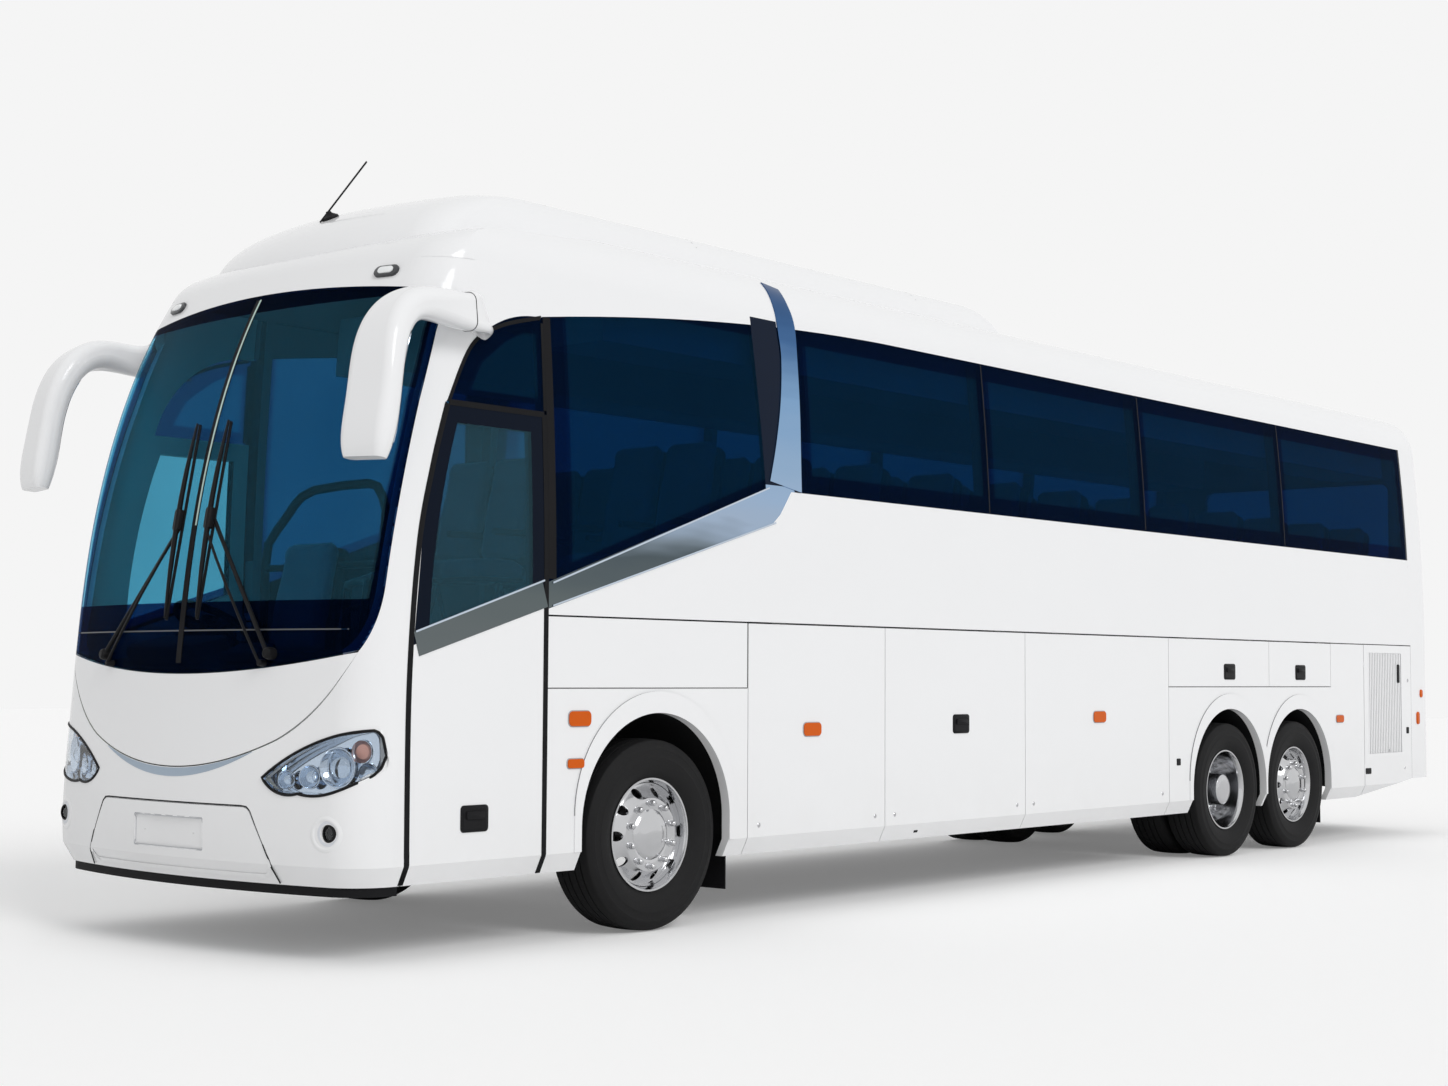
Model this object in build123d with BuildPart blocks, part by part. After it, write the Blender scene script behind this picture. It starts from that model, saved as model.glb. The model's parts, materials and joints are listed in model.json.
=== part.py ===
from build123d import *
import os
from math import asin, cos, radians, sin, sqrt

os.makedirs("parts", exist_ok=True)

# A three-axle touring coach, right-hand drive, in millimetres.
# Stations run back from the front of the bumper; the front faces -Y, the left side is +X.

# ---------------------------------------------------------------- body sizes
body_length = 12500
body_width = 2550
wall = 50                   # a body wall, a door or a lid, right through
shut_gap = 6                # shut line round every lid
door_gap = 12               # rubber-sealed line round the entry door
seat_gap = 0.3              # running or bedding clearance between pieces
glass_thick = 12
pane_thick = 25             # bonded double glazing of the sides
barrel_r = 4.5              # hinge barrels, which stand proud of the panels
barrel_length = 40
barrel_tab = 4
skirt_z = 360
chamfer_z = 455
chamfer_in = 46
bumper_top_z = 742
flap_low_z = 1290
belt_z = 1650               # hinge line of the luggage doors
glass_low_z = 2410
glass_top_z = 3400
glass_top_half = 1185       # half width of the body at the top of the glass
shoulder_r = 355            # roof shoulder
bow_r = 4800                # front seen from above
corner_r = 250

# ---------------------------------------------------------------- stations
door_front = 446
door_rear = 1330
nose_end = 1340             # the moulded nose meets the side walls
quarter_end = 2920
bay_joints = [quarter_end, 4210, 5770, 7700]
flap_joints = [7700, 9310, 10430]
engine_door_front = 11080
tail_joint = 12070
front_axle = 2190
drive_axle = 8680
tag_axle = 9850

half_width = body_width / 2
origin_station = (body_length + barrel_r) / 2
side_rise = glass_top_z - belt_z
side_r = (side_rise ** 2 + (half_width - glass_top_half) ** 2) / (2 * (half_width - glass_top_half))
side_lean = asin(side_rise / side_r)
shoulder_x = glass_top_half - shoulder_r * cos(side_lean)
shoulder_z = glass_top_z - shoulder_r * sin(side_lean)
roof_z = shoulder_z + shoulder_r

# Front centre line: height, set-back behind the bumper front.
nose_front = 572
front_line = [
    (chamfer_z, 6), (650, 0), (1000, 20), (1400, 52),
    (1850, 97), (2300, 169), (2850, 318), (glass_top_z, nose_front),
]
roof_line = [(glass_top_z, nose_front), (3520, 690), (3610, 1000), (3680, 1750), (roof_z + 3, 2600)]
roof_margin = 2             # the rounding block of the roof is this much wider than its section


def at(station):
    return station - origin_station


def half_at(z):
    if z <= belt_z:
        return half_width
    if z <= glass_top_z:
        return half_width - side_r + sqrt(side_r ** 2 - (z - belt_z) ** 2)
    return shoulder_x + sqrt(max(shoulder_r ** 2 - (z - shoulder_z) ** 2, 0))


def front_at(z):
    for (low, low_set), (high, high_set) in zip(front_line, front_line[1:]):
        if z <= high:
            return low_set + (high_set - low_set) * (z - low) / (high - low)
    return nose_front


def side_point(z, depth):
    """A point of the body section, the given depth inside the surface at height z."""
    if z <= belt_z:
        return (half_width - depth, z)
    if z <= glass_top_z:
        lean = asin((z - belt_z) / side_r)
        return (half_width - side_r + (side_r - depth) * cos(lean), belt_z + (side_r - depth) * sin(lean))
    lean = asin(min((z - shoulder_z) / shoulder_r, 1))
    return (shoulder_x + (shoulder_r - depth) * cos(lean), shoulder_z + (shoulder_r - depth) * sin(lean))


def section_band(low, high, outer, inner):
    """Face of the left side's section between two heights and two depths."""
    heights = [low] + [z for z in (belt_z, glass_top_z) if low < z < high] + [high]
    with BuildSketch(mode=Mode.PRIVATE) as band:
        with BuildLine():
            for depth in (outer, inner):
                for start, end in zip(heights, heights[1:]):
                    if end <= belt_z:
                        Line(side_point(start, depth), side_point(end, depth))
                    else:
                        places = [side_point(z, depth) for z in (start, (start + end) / 2, end)]
                        ThreePointArc(*places)
            Line(side_point(low, outer), side_point(low, inner))
            Line(side_point(high, outer), side_point(high, inner))
        make_face()
    return band.sketch


def skirt_band(high, outer, inner):
    """Face of the left side's section from the skirt's chamfer up to a height."""
    foot = half_width - chamfer_in
    with BuildSketch(mode=Mode.PRIVATE) as band:
        with BuildLine():
            Polyline(
                (foot - outer, skirt_z), (half_width - outer, chamfer_z), (half_width - outer, high),
                (half_width - inner, high), (half_width - inner, chamfer_z), (foot - inner, skirt_z),
                close=True,
            )
        make_face()
    return band.sketch


def across(station):
    """Plane across the coach at a station; local x is +X and local y is +Z."""
    return Plane.XZ.offset(-at(station))


def plan_outline(z, half, front, end, bow, corner):
    """Closed outline from above: bowed front, two corners, straight sides and back."""
    corner_x = half - corner
    corner_y = front + bow - sqrt((bow - corner) ** 2 - corner_x ** 2)
    lean = asin(corner_x / (bow - corner))
    mid_lean = (radians(90) + lean) / 2
    left = [
        (bow * sin(lean), at(front + bow - bow * cos(lean))),
        (corner_x + corner * sin(mid_lean), at(corner_y - corner * cos(mid_lean))),
        (half, at(corner_y)),
        (half, at(end)),
    ]
    right = [(-x, y) for x, y in left]
    with BuildSketch(Plane.XY.offset(z), mode=Mode.PRIVATE) as outline:
        with BuildLine():
            ThreePointArc(right[0], (0, at(front)), left[0])
            ThreePointArc(left[0], left[1], left[2])
            Line(left[2], left[3])
            Line(left[3], right[3])
            Line(right[3], right[2])
            ThreePointArc(right[2], right[1], right[0])
        make_face()
    return outline.sketch


def nose_outline(z, half, set_back, depth, end):
    return plan_outline(z, half - depth, set_back + depth, end, bow_r - depth, corner_r - depth)


def nose_solid(depth):
    """The nose below the glass top, filled, the given depth inside its surface."""
    foot_set = front_line[0][1] + chamfer_in
    with BuildPart(mode=Mode.PRIVATE) as nose:
        loft([nose_outline(z, half_at(z), set_back, depth, nose_end) for z, set_back in front_line])
        loft(
            [
                nose_outline(chamfer_z, half_width, front_line[0][1], depth, nose_end),
                nose_outline(skirt_z, half_width - chamfer_in, foot_set, depth, nose_end),
            ],
            ruled=True,
        )
    return nose.part


def full_section(depth, low):
    """The whole body section above a height, filled."""
    with BuildSketch(mode=Mode.PRIVATE) as section:
        with BuildLine() as half:
            Polyline((0, low), (half_width - depth, low), (half_width - depth, belt_z))
            middles = ((belt_z + glass_top_z) / 2, (glass_top_z + roof_z) / 2)
            for low_end, middle, high_end in zip((belt_z, glass_top_z), middles, (glass_top_z, roof_z)):
                ThreePointArc(*[side_point(z, depth) for z in (low_end, middle, high_end)])
            Line((shoulder_x, roof_z - depth), (0, roof_z - depth))
            mirror(about=Plane.YZ)
        make_face()
    return section.sketch


def roof_solid(depth):
    """The roof ahead of the tail, filled, the given depth inside its surface."""
    sections = []
    for z, set_back in roof_line:
        lowered = z - depth * (z - glass_top_z) / (roof_z - glass_top_z)
        sections.append(nose_outline(lowered, glass_top_half + roof_margin, set_back, depth, tail_joint))
    with BuildPart(mode=Mode.PRIVATE) as roof:
        loft(sections)
        with BuildSketch(across(0)):
            add(full_section(depth, skirt_z))
        extrude(amount=-tail_joint, mode=Mode.INTERSECT)
    return roof.part


def side_prism(sketch, inner=300, outer=1400):
    """Prism of a side-view region, through the left side."""
    with BuildPart(mode=Mode.PRIVATE) as prism:
        with BuildSketch(Plane.YZ.offset(inner)):
            add(sketch)
        extrude(amount=outer - inner)
    return prism.part


def front_prism(sketch, end=760):
    """Prism of a front-view region, through the nose."""
    with BuildPart(mode=Mode.PRIVATE) as prism:
        with BuildSketch(across(-100)):
            add(sketch)
        extrude(amount=-(end + 100))
    return prism.part


def save(piece, name):
    piece.label = name
    export_step(piece, f"parts/{name}.step")


# ---------------------------------------------------------------- outlines, seen from the left
door_top_z = 2660
door_bend = (519, 2080)             # front edge of the entry door, curving back from here up
door_bend_foot_z = 1300
door_head_front = 690
quarter_bend = (850, 2960)          # front edge of the window above the door
quarter_foot = 700
quarter_top_z = 3165
door_pane_foot = (560, 1560)        # front corners and rear foot of the door's window
door_pane_bend = (615, 2080)
door_pane_head = 745
door_pane_rear_z = 1800
door_pane_inset = 90                # from the window to the door's top and rear edges
band_front_low = (1370, 1690)       # lower edge of the bright band, station and height
band_front_high = (1370, 1825)
band_hook = [(3150, 2222), (3215, 2275)]
band_rear_high = (3090, glass_low_z)
band_window_top_z = 2500
band_shift = 10             # the band's ends lie this much lower where it meets the nose
pillar_foot = (3090, 3350)          # bright pillar, front and rear edge
pillar_head = (3010, 3240)
pillar_top_z = 3600
pane_end = 12040


def region(*points):
    """Closed straight-sided region from stations and heights."""
    with BuildSketch(mode=Mode.PRIVATE) as sketch:
        with BuildLine():
            Polyline(*[(at(s), z) for s, z in points], close=True)
        make_face()
    return sketch.sketch


def door_region(gap):
    """Entry door seen from the left, grown by a gap."""
    with BuildSketch(mode=Mode.PRIVATE) as sketch:
        with BuildLine():
            foot = (at(door_front - gap), door_bend_foot_z)
            head = (at(door_head_front - gap), door_top_z + gap)
            Line((foot[0], skirt_z - gap), foot)
            ThreePointArc(foot, (at(door_bend[0] - gap), door_bend[1]), head)
            Polyline(
                head, (at(door_rear + gap), door_top_z + gap),
                (at(door_rear + gap), skirt_z - gap), (at(door_front - gap), skirt_z - gap),
            )
        make_face()
    return sketch.sketch


def quarter_region(gap):
    """Quarter window above the door, shrunk by a gap."""
    low = (at(quarter_foot + gap), door_top_z + door_gap + gap)
    top = (at(nose_end), quarter_top_z - gap)
    with BuildSketch(mode=Mode.PRIVATE) as sketch:
        with BuildLine():
            ThreePointArc(low, (at(quarter_bend[0] + gap), quarter_bend[1]), top)
            Polyline(top, (at(nose_end), low[1]), low)
        make_face()
    return sketch.sketch


def door_pane_region():
    """Window of the entry door and of the driver's side."""
    with BuildSketch(mode=Mode.PRIVATE) as sketch:
        with BuildLine():
            foot = (at(door_pane_foot[0]), door_pane_foot[1])
            head = (at(door_pane_head), door_top_z - door_pane_inset)
            rear = at(door_rear - door_pane_inset)
            ThreePointArc(foot, (at(door_pane_bend[0]), door_pane_bend[1]), head)
            Polyline(head, (rear, head[1]), (rear, door_pane_rear_z), foot)
        make_face()
    return sketch.sketch


glass_curve = [(nose_end, 3170), (2300, 3290), (4300, glass_top_z)]


def glass_region(front, rear, low):
    """Side glazing between two stations, under the curve that drops towards the front."""
    with BuildSketch(mode=Mode.PRIVATE) as under_curve:
        with BuildLine():
            start, middle, end = [(at(s), z) for s, z in glass_curve]
            ThreePointArc(start, middle, end)
            Polyline(
                end, (at(body_length), glass_top_z), (at(body_length), skirt_z), (at(nose_end), skirt_z),
                start,
            )
        make_face()
    return under_curve.sketch & region((front, low), (front, roof_z), (rear, roof_z), (rear, low))


band_strip = region(
    (nose_end, band_front_low[1] - band_shift), *band_hook, (pillar_foot[1], glass_low_z + 40),
    band_rear_high, (nose_end, band_front_high[1] - band_shift),
)
band_window = region(
    (nose_end, band_front_high[1] - band_shift), (band_rear_high[0], band_rear_high[1]),
    (band_rear_high[0], band_window_top_z), (nose_end, band_window_top_z),
)

# ---------------------------------------------------------------- outlines, seen from the front
screen_low_centre = 1352
screen_low_corner = (1174, 1463)
screen_top_centre = 3299
screen_top_bend = (1175, 3150)
screen_top_corner = (1048, 3237)
screen_side_z = (1500, 2960)
# Side edge of the windscreen seen from the left, from its lower corner up.
screen_edge = [(224, screen_low_corner[1]), (278, 1590), (320, 1760), (400, 2200), (522, 2660)]
screen_edge_head = [(640, 3010), (760, 3300)]
panel_low_centre = 890
panel_knee = (750, 1035)
panel_bend = (1000, 1209)
lamp_spread = 1268
lamp_spread_z = (905, 1093)
lamp_tip = (676, 859)
lamp_foot = [(765, 797), (900, 791), (1120, 808)]
lamp_crown = (960, 1018)


def screen_region():
    """Windscreen seen from the front; its side edges are set by screen_side_region."""
    corner, side_top = [(half_width, z) for z in screen_side_z]
    low, top, bend = screen_low_corner, screen_top_corner, screen_top_bend
    with BuildSketch(mode=Mode.PRIVATE) as sketch:
        with BuildLine():
            ThreePointArc((-low[0], low[1]), (0, screen_low_centre), low)
            Line(low, corner)
            Line(corner, side_top)
            ThreePointArc(side_top, bend, top)
            ThreePointArc(top, (0, screen_top_centre), (-top[0], top[1]))
            ThreePointArc((-top[0], top[1]), (-bend[0], bend[1]), (-side_top[0], side_top[1]))
            Line((-side_top[0], side_top[1]), (-corner[0], corner[1]))
            Line((-corner[0], corner[1]), (-low[0], low[1]))
        make_face()
    return sketch.sketch


def screen_side_region():
    """What lies ahead of the windscreen's side edge, seen from the left."""
    with BuildSketch(mode=Mode.PRIVATE) as sketch:
        with BuildLine():
            edge = [(at(s), z) for s, z in screen_edge]
            above = [(at(s), z) for s, z in screen_edge_head]
            ahead, low_z = at(-200), panel_low_centre
            Polyline((ahead, low_z), (edge[0][0], low_z), edge[0])
            ThreePointArc(*edge[:3])
            ThreePointArc(*edge[2:])
            Polyline(edge[-1], *above, (above[-1][0], glass_top_z), (ahead, glass_top_z), (ahead, low_z))
        make_face()
    return sketch.sketch


def panel_region(gap):
    """Rounded front panel below the windscreen, shrunk by a gap."""
    corner = (screen_low_corner[0] - gap, screen_low_corner[1] - 2 * gap)
    knee = (panel_knee[0] - gap, panel_knee[1] + gap)
    bend = (panel_bend[0] - gap, panel_bend[1] + gap)
    with BuildSketch(mode=Mode.PRIVATE) as sketch:
        with BuildLine():
            ThreePointArc((-corner[0], corner[1]), (0, screen_low_centre - gap), corner)
            ThreePointArc(corner, bend, knee)
            ThreePointArc(knee, (0, panel_low_centre + gap), (-knee[0], knee[1]))
            ThreePointArc((-knee[0], knee[1]), (-bend[0], bend[1]), (-corner[0], corner[1]))
        make_face()
    return sketch.sketch


def lamp_region():
    """Left headlight seen from the front."""
    with BuildSketch(mode=Mode.PRIVATE) as sketch:
        with BuildLine():
            low_end, high_end = [(lamp_spread, z) for z in lamp_spread_z]
            ThreePointArc(lamp_tip, lamp_foot[0], lamp_foot[1])
            ThreePointArc(lamp_foot[1], lamp_foot[2], low_end)
            Line(low_end, high_end)
            ThreePointArc(high_end, lamp_crown, lamp_tip)
        make_face()
    return sketch.sketch


# ---------------------------------------------------------------- nose mouldings
outer_nose = nose_solid(0)
inner_nose = nose_solid(wall)
nose_shell = outer_nose - inner_nose
glass_shell = outer_nose - nose_solid(glass_thick)
pane_shell = outer_nose - nose_solid(pane_thick)
lamp_shell = outer_nose - nose_solid(wall - 5)
screen_prism = front_prism(screen_region()) & side_prism(screen_side_region(), -half_width - 100)
panel_prism = front_prism(panel_region(0))
lamp_end = 322
lamp_prism = front_prism(lamp_region(), lamp_end)
door_prism = side_prism(door_region(door_gap))
quarter_prism = side_prism(quarter_region(0))
driver_prism = mirror(side_prism(door_pane_region()), about=Plane.YZ)
below_bumper = Pos(0, 0, bumper_top_z) * Box(
    2 * body_width, 2 * body_length, bumper_top_z, align=(Align.CENTER, Align.CENTER, Align.MAX)
)

with BuildPart() as front_mask:
    add(nose_shell)
    for cut in (screen_prism, panel_prism, lamp_prism, door_prism, driver_prism, quarter_prism):
        add(cut, mode=Mode.SUBTRACT)
    add(below_bumper, mode=Mode.SUBTRACT)
    add(mirror(lamp_prism, about=Plane.YZ), mode=Mode.SUBTRACT)
    add(mirror(quarter_prism, about=Plane.YZ), mode=Mode.SUBTRACT)
save(front_mask.part, "front_mask")

panel_thick = 20
with BuildPart() as front_panel:
    add(outer_nose)
    add(nose_solid(panel_thick), mode=Mode.SUBTRACT)
    add(front_prism(panel_region(shut_gap)), mode=Mode.INTERSECT)
save(front_panel.part, "front_panel")

# Bumper with the seam of its centre cover, the plate recess and the fog lamps' sockets.
cover_top = (600, 724)
cover_foot = (788, 392)
seam_width = 8
seam_depth = 14
plate_size = (554, 152)
plate_centre_z = 576
plate_sunk = 14
plate_pitch = 400
plate_hole_r = 3
fog_x = 1088
fog_z = 613
fog_r = 42
plate_floor = front_at(plate_centre_z) + plate_sunk


def cover_region(shrink):
    with BuildSketch(mode=Mode.PRIVATE) as sketch:
        with BuildLine():
            top_x, top_z = cover_top[0] - shrink, cover_top[1] - shrink
            foot_x, foot_z = cover_foot[0] - shrink, cover_foot[1] + shrink
            Polyline((-top_x, top_z), (top_x, top_z), (foot_x, foot_z), (-foot_x, foot_z), close=True)
        make_face()
        fillet(sketch.vertices(), 60)
    return sketch.sketch


with BuildPart() as bumper:
    add(nose_shell)
    add(below_bumper, mode=Mode.INTERSECT)
    add(door_prism, mode=Mode.SUBTRACT)
    add(
        front_prism(cover_region(0) - cover_region(seam_width), 200) - nose_solid(seam_depth),
        mode=Mode.SUBTRACT,
    )
    with BuildSketch(across(-10)):
        with Locations((0, plate_centre_z)):
            RectangleRounded(*plate_size, 12)
    extrude(amount=-(plate_floor + 10), mode=Mode.SUBTRACT)
    with BuildSketch(across(plate_floor - 1)):
        with Locations((-plate_pitch / 2, plate_centre_z), (plate_pitch / 2, plate_centre_z)):
            Circle(plate_hole_r)
    extrude(amount=-(2 * wall), mode=Mode.SUBTRACT)
    with BuildSketch(across(-10)):
        with Locations((-fog_x, fog_z), (fog_x, fog_z)):
            Circle(fog_r)
    extrude(amount=-300, mode=Mode.SUBTRACT)
save(bumper.part, "bumper")

fog_front = 122
with BuildPart() as headlights:
    add(lamp_shell)
    add(lamp_prism, mode=Mode.INTERSECT)
    with BuildSketch(across(fog_front)):
        with Locations((fog_x, fog_z)):
            Circle(fog_r - seat_gap)
    extrude(amount=-60)
    add(mirror(headlights.part, about=Plane.YZ))
save(headlights.part, "headlights")

with BuildPart() as windscreen:
    add(glass_shell)
    add(screen_prism, mode=Mode.INTERSECT)
save(windscreen.part, "windscreen")

# ---------------------------------------------------------------- roof
with BuildPart() as roof:
    add(roof_solid(0))
    add(roof_solid(wall), mode=Mode.SUBTRACT)
save(roof.part, "roof")

# Roof pod: height, half width, front and rear station of each outline.
pod_line = [
    (glass_top_z, 920, 640, 6150), (3640, 900, 760, 6120), (3800, 830, 1000, 6020),
    (3900, 720, 1400, 5860), (3945, 560, 2200, 5650),
]
pod_bow = 2500
pod_corner = 200

with BuildPart() as roof_pod:
    loft([plan_outline(z, half, front, rear, pod_bow, pod_corner) for z, half, front, rear in pod_line])
    add(roof_solid(0), mode=Mode.SUBTRACT)
save(roof_pod.part, "roof_pod")

# ---------------------------------------------------------------- hinges
hinge_gap = 5               # from a hinge line to the panel on either side of it


def barrels(line, middle, along, toward, moving):
    """Hinge barrels on a line: one for the lid in the middle, or the two fixed ones beside it.

    line is a point of the hinge line, middle the barrel's place along it, along its direction
    and toward the direction of the panel that carries the barrels.
    """
    step = barrel_length + seat_gap
    places = [middle] if moving else [middle - step, middle + step]
    piece = None
    for place in places:
        centre = Vector(*line) + Vector(*along) * place
        inward = Vector(*toward)
        start = centre - Vector(*along) * (barrel_length / 2)
        frame = Plane(origin=start, x_dir=inward, z_dir=Vector(*along))
        with BuildPart(mode=Mode.PRIVATE) as barrel:
            with BuildSketch(frame):
                Circle(barrel_r)
                with Locations((hinge_gap / 2 + 1, 0)):
                    Rectangle(hinge_gap + 2, barrel_tab)
            extrude(amount=barrel_length)
        piece = barrel.part if piece is None else piece + barrel.part
    return piece


def hinge_places(front, rear):
    inset = (rear - front) / 5
    return (front + inset, rear - inset)


def belt_barrels(front, rear, moving):
    """Barrels of one top-hinged lid on the left side's hinge line."""
    toward = (0, 0, -1) if moving else (0, 0, 1)
    line = (half_width, 0, belt_z)
    pieces = [barrels(line, at(place), (0, 1, 0), toward, moving) for place in hinge_places(front, rear)]
    return pieces[0] + pieces[1]


# ---------------------------------------------------------------- side walls
wheel_radius = 508          # under load; also the height of the hubs
# Wheel arch openings: centre station, radius and top.
arches = {"front": (2180, 580, 1154), "drive": (8645, 590, 1123), "tag": (9835, 573, 1113)}
flare_width = 115           # over the top of the arch
flare_side = 50
flare_out = 7
sill_rail = 50              # rail of the wall's frame on the deck
deck_z = 1600
deck_thick = 50
rail_gap = 10
post_width = 60
post_stations = [1400, 3220, 5380, 7410, 9650, 12010]
grille_door_rear = tail_joint - shut_gap / 2
# Station and height where the tail's lower edge turns up, and its height at the tail.
tail_foot = (10980, skirt_z, 485)


def arch_region(name, grow=0):
    """Wheel arch opening, grown: round over the wheel, straight down to below the skirt."""
    centre, radius, top = arches[name]
    with BuildSketch(mode=Mode.PRIVATE) as sketch:
        with Locations((at(centre), top - radius)):
            Circle(radius + grow)
            Rectangle(2 * (radius + grow), top, align=(Align.CENTER, Align.MAX))
    return sketch.sketch


def flare_region(name):
    """Raised rim over a wheel arch: widest at the top, tapering down its sides."""
    centre, radius, top = arches[name]
    flare_radius = radius + flare_side
    with BuildSketch(mode=Mode.PRIVATE) as sketch:
        with Locations((at(centre), top + flare_width - flare_radius)):
            Circle(flare_radius)
            Rectangle(2 * flare_radius, top, align=(Align.CENTER, Align.MAX))
    return sketch.sketch


below_chamfer = region(
    (nose_end, -body_width), (nose_end, chamfer_z), (body_length, chamfer_z), (body_length, -body_width)
)
tail_slope = region(
    (tail_foot[0], 0), (tail_foot[0], tail_foot[1]), (tail_joint, tail_foot[2]),
    (body_length + 100, tail_foot[2]), (body_length + 100, 0),
)
front_arch, drive_arch, tag_arch = [side_prism(arch_region(name)) for name in arches]
arch_cut = front_arch + drive_arch + tag_arch

pillar = region(
    (pillar_foot[0], glass_low_z), (pillar_head[0], pillar_top_z),
    (pillar_head[1], pillar_top_z), (pillar_foot[1], glass_low_z),
)
below_roof = region(
    (nose_end, skirt_z), (nose_end, glass_top_z), (tail_joint, glass_top_z), (tail_joint, skirt_z)
)

with BuildPart() as trim_left:
    with BuildSketch(across(nose_end)):
        add(section_band(belt_z + 20, glass_top_z, 0, pane_thick))
    extrude(amount=-(pillar_foot[1] + wall - nose_end))
    add(side_prism((band_strip - band_window) + (pillar & below_roof)), mode=Mode.INTERSECT)

with BuildPart() as bright_trim:
    add(trim_left.part)
    add(mirror(trim_left.part, about=Plane.YZ))
save(bright_trim.part, "bright_trim")

with BuildPart() as wall_left:
    with BuildSketch(across(nose_end)):
        add(section_band(belt_z + hinge_gap, glass_low_z, 0, wall))
    extrude(amount=-(tail_joint - nose_end))
    with BuildSketch(across(nose_end)):
        add(skirt_band(belt_z + hinge_gap, 0, wall))
    extrude(amount=-(quarter_end - shut_gap / 2 - nose_end))
    with BuildSketch(across(bay_joints[-1] + shut_gap / 2)):
        add(skirt_band(flap_low_z - shut_gap / 2, 0, wall))
    extrude(amount=-(flap_joints[-1] - bay_joints[-1]))
    with BuildSketch(across(flap_joints[-1] + shut_gap / 2)):
        add(skirt_band(belt_z + hinge_gap, 0, wall))
    extrude(amount=-(engine_door_front - hinge_gap - flap_joints[-1] - shut_gap / 2))
    with BuildSketch(Plane.YZ.offset(half_width - wall)):
        for name in arches:
            add(flare_region(name))
        add(below_chamfer, mode=Mode.SUBTRACT)
    extrude(amount=wall + flare_out)
    add(arch_cut, mode=Mode.SUBTRACT)
    add(side_prism(tail_slope), mode=Mode.SUBTRACT)
    add(side_prism(band_window + band_strip), mode=Mode.SUBTRACT)
    with BuildSketch(across(nose_end)):
        add(section_band(3100, glass_top_z, 0, wall))
    extrude(amount=-(glass_curve[-1][0] - nose_end))
    add(side_prism(glass_region(nose_end, body_length, glass_low_z)), mode=Mode.SUBTRACT)
    add(trim_left.part, mode=Mode.SUBTRACT)
    for station in post_stations:
        with BuildSketch(across(station - post_width / 2)):
            add(section_band(belt_z + 100, glass_top_z, pane_thick, wall + sill_rail))
        extrude(amount=-post_width)
    with BuildSketch(across(nose_end + 20)):
        with Locations((half_width - wall - rail_gap, deck_z)):
            Rectangle(sill_rail, belt_z - deck_z + 120, align=(Align.MAX, Align.MIN))
        with Locations((half_width - wall - rail_gap, belt_z + 20)):
            Rectangle(2 * rail_gap, 100, align=(Align.MIN, Align.MIN))
    extrude(amount=-(tail_joint - nose_end - 20))
    for front, rear in zip(bay_joints, bay_joints[1:]):
        add(belt_barrels(front, rear, False))
    for front, rear in zip(flap_joints, flap_joints[1:]):
        add(belt_barrels(front, rear, False))
save(wall_left.part, "wall_left")
save(mirror(wall_left.part, about=Plane.YZ), "wall_right")

# ---------------------------------------------------------------- luggage doors and flaps
def side_lid(front, rear, low):
    """A top-hinged lid of the left side between two stations."""
    with BuildPart(mode=Mode.PRIVATE) as lid:
        with BuildSketch(across(front + shut_gap / 2)):
            if low <= skirt_z:
                add(skirt_band(belt_z - hinge_gap, 0, wall))
            else:
                add(section_band(low, belt_z - hinge_gap, 0, wall))
        extrude(amount=-(rear - front - shut_gap))
        add(belt_barrels(front, rear, True))
    return lid.part


for count, (front, rear) in enumerate(zip(bay_joints, bay_joints[1:]), start=1):
    bay_door = side_lid(front, rear, skirt_z)
    save(bay_door, f"bay_door_left_{count}")
    save(mirror(bay_door, about=Plane.YZ), f"bay_door_right_{count}")

flap_low = flap_low_z + shut_gap / 2
for name, (front, rear) in zip(("drive", "tag"), zip(flap_joints, flap_joints[1:])):
    flap = side_lid(front, rear, flap_low)
    save(flap, f"flap_{name}_left")
    save(mirror(flap, about=Plane.YZ), f"flap_{name}_right")

# Engine side door: side-hinged at its front edge, with a panel of upright slats.
grille_front, grille_rear = 11170, 11860
grille_low, grille_high = 720, 1580
slat_pitch = 34
slat_width = 20
slat_depth = 30
engine_hinge_z = (620, 1480)
door_head = belt_z - shut_gap / 2

with BuildPart() as engine_door:
    with BuildSketch(across(engine_door_front + hinge_gap)):
        add(skirt_band(door_head, 0, wall))
    extrude(amount=-(grille_door_rear - engine_door_front - hinge_gap))
    add(side_prism(tail_slope), mode=Mode.SUBTRACT)
    with BuildSketch(Plane.YZ.offset(half_width + 1)):
        with Locations((at((grille_front + grille_rear) / 2), (grille_low + grille_high) / 2)):
            Rectangle(grille_rear - grille_front, grille_high - grille_low)
    extrude(amount=-wall - 2, mode=Mode.SUBTRACT)
    slat_count = int((grille_rear - grille_front) / slat_pitch)
    with BuildSketch(Plane.YZ.offset(half_width - slat_depth)):
        with Locations((at((grille_front + grille_rear) / 2), (grille_low + grille_high) / 2)):
            with GridLocations(slat_pitch, 0, slat_count, 1):
                Rectangle(slat_width, grille_high - grille_low + 4)
    extrude(amount=slat_depth - 4)
    for place in engine_hinge_z:
        line = (half_width, at(engine_door_front), 0)
        add(barrels(line, place, (0, 0, 1), (0, 1, 0), True))
save(engine_door.part, "engine_door_left")
save(mirror(engine_door.part, about=Plane.YZ), "engine_door_right")

# ---------------------------------------------------------------- entry door
pane_prism = side_prism(door_pane_region())
arm_reach = 450             # pivot to pivot
arm_pivot = (1165, 610)     # x and station of the body-side pivot
arm_heights = (760, 1330)
post_r = 22
pin_r = 12
eye_r = 24
arm_thick = 30
leaf_pivot = (arm_pivot[0], arm_pivot[1] + arm_reach)
step_z = 440
step_thick = 25
step_edge = 1195            # outer edge of the lowest step, inside the door's chamfer
post_foot = step_z + seat_gap

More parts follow.
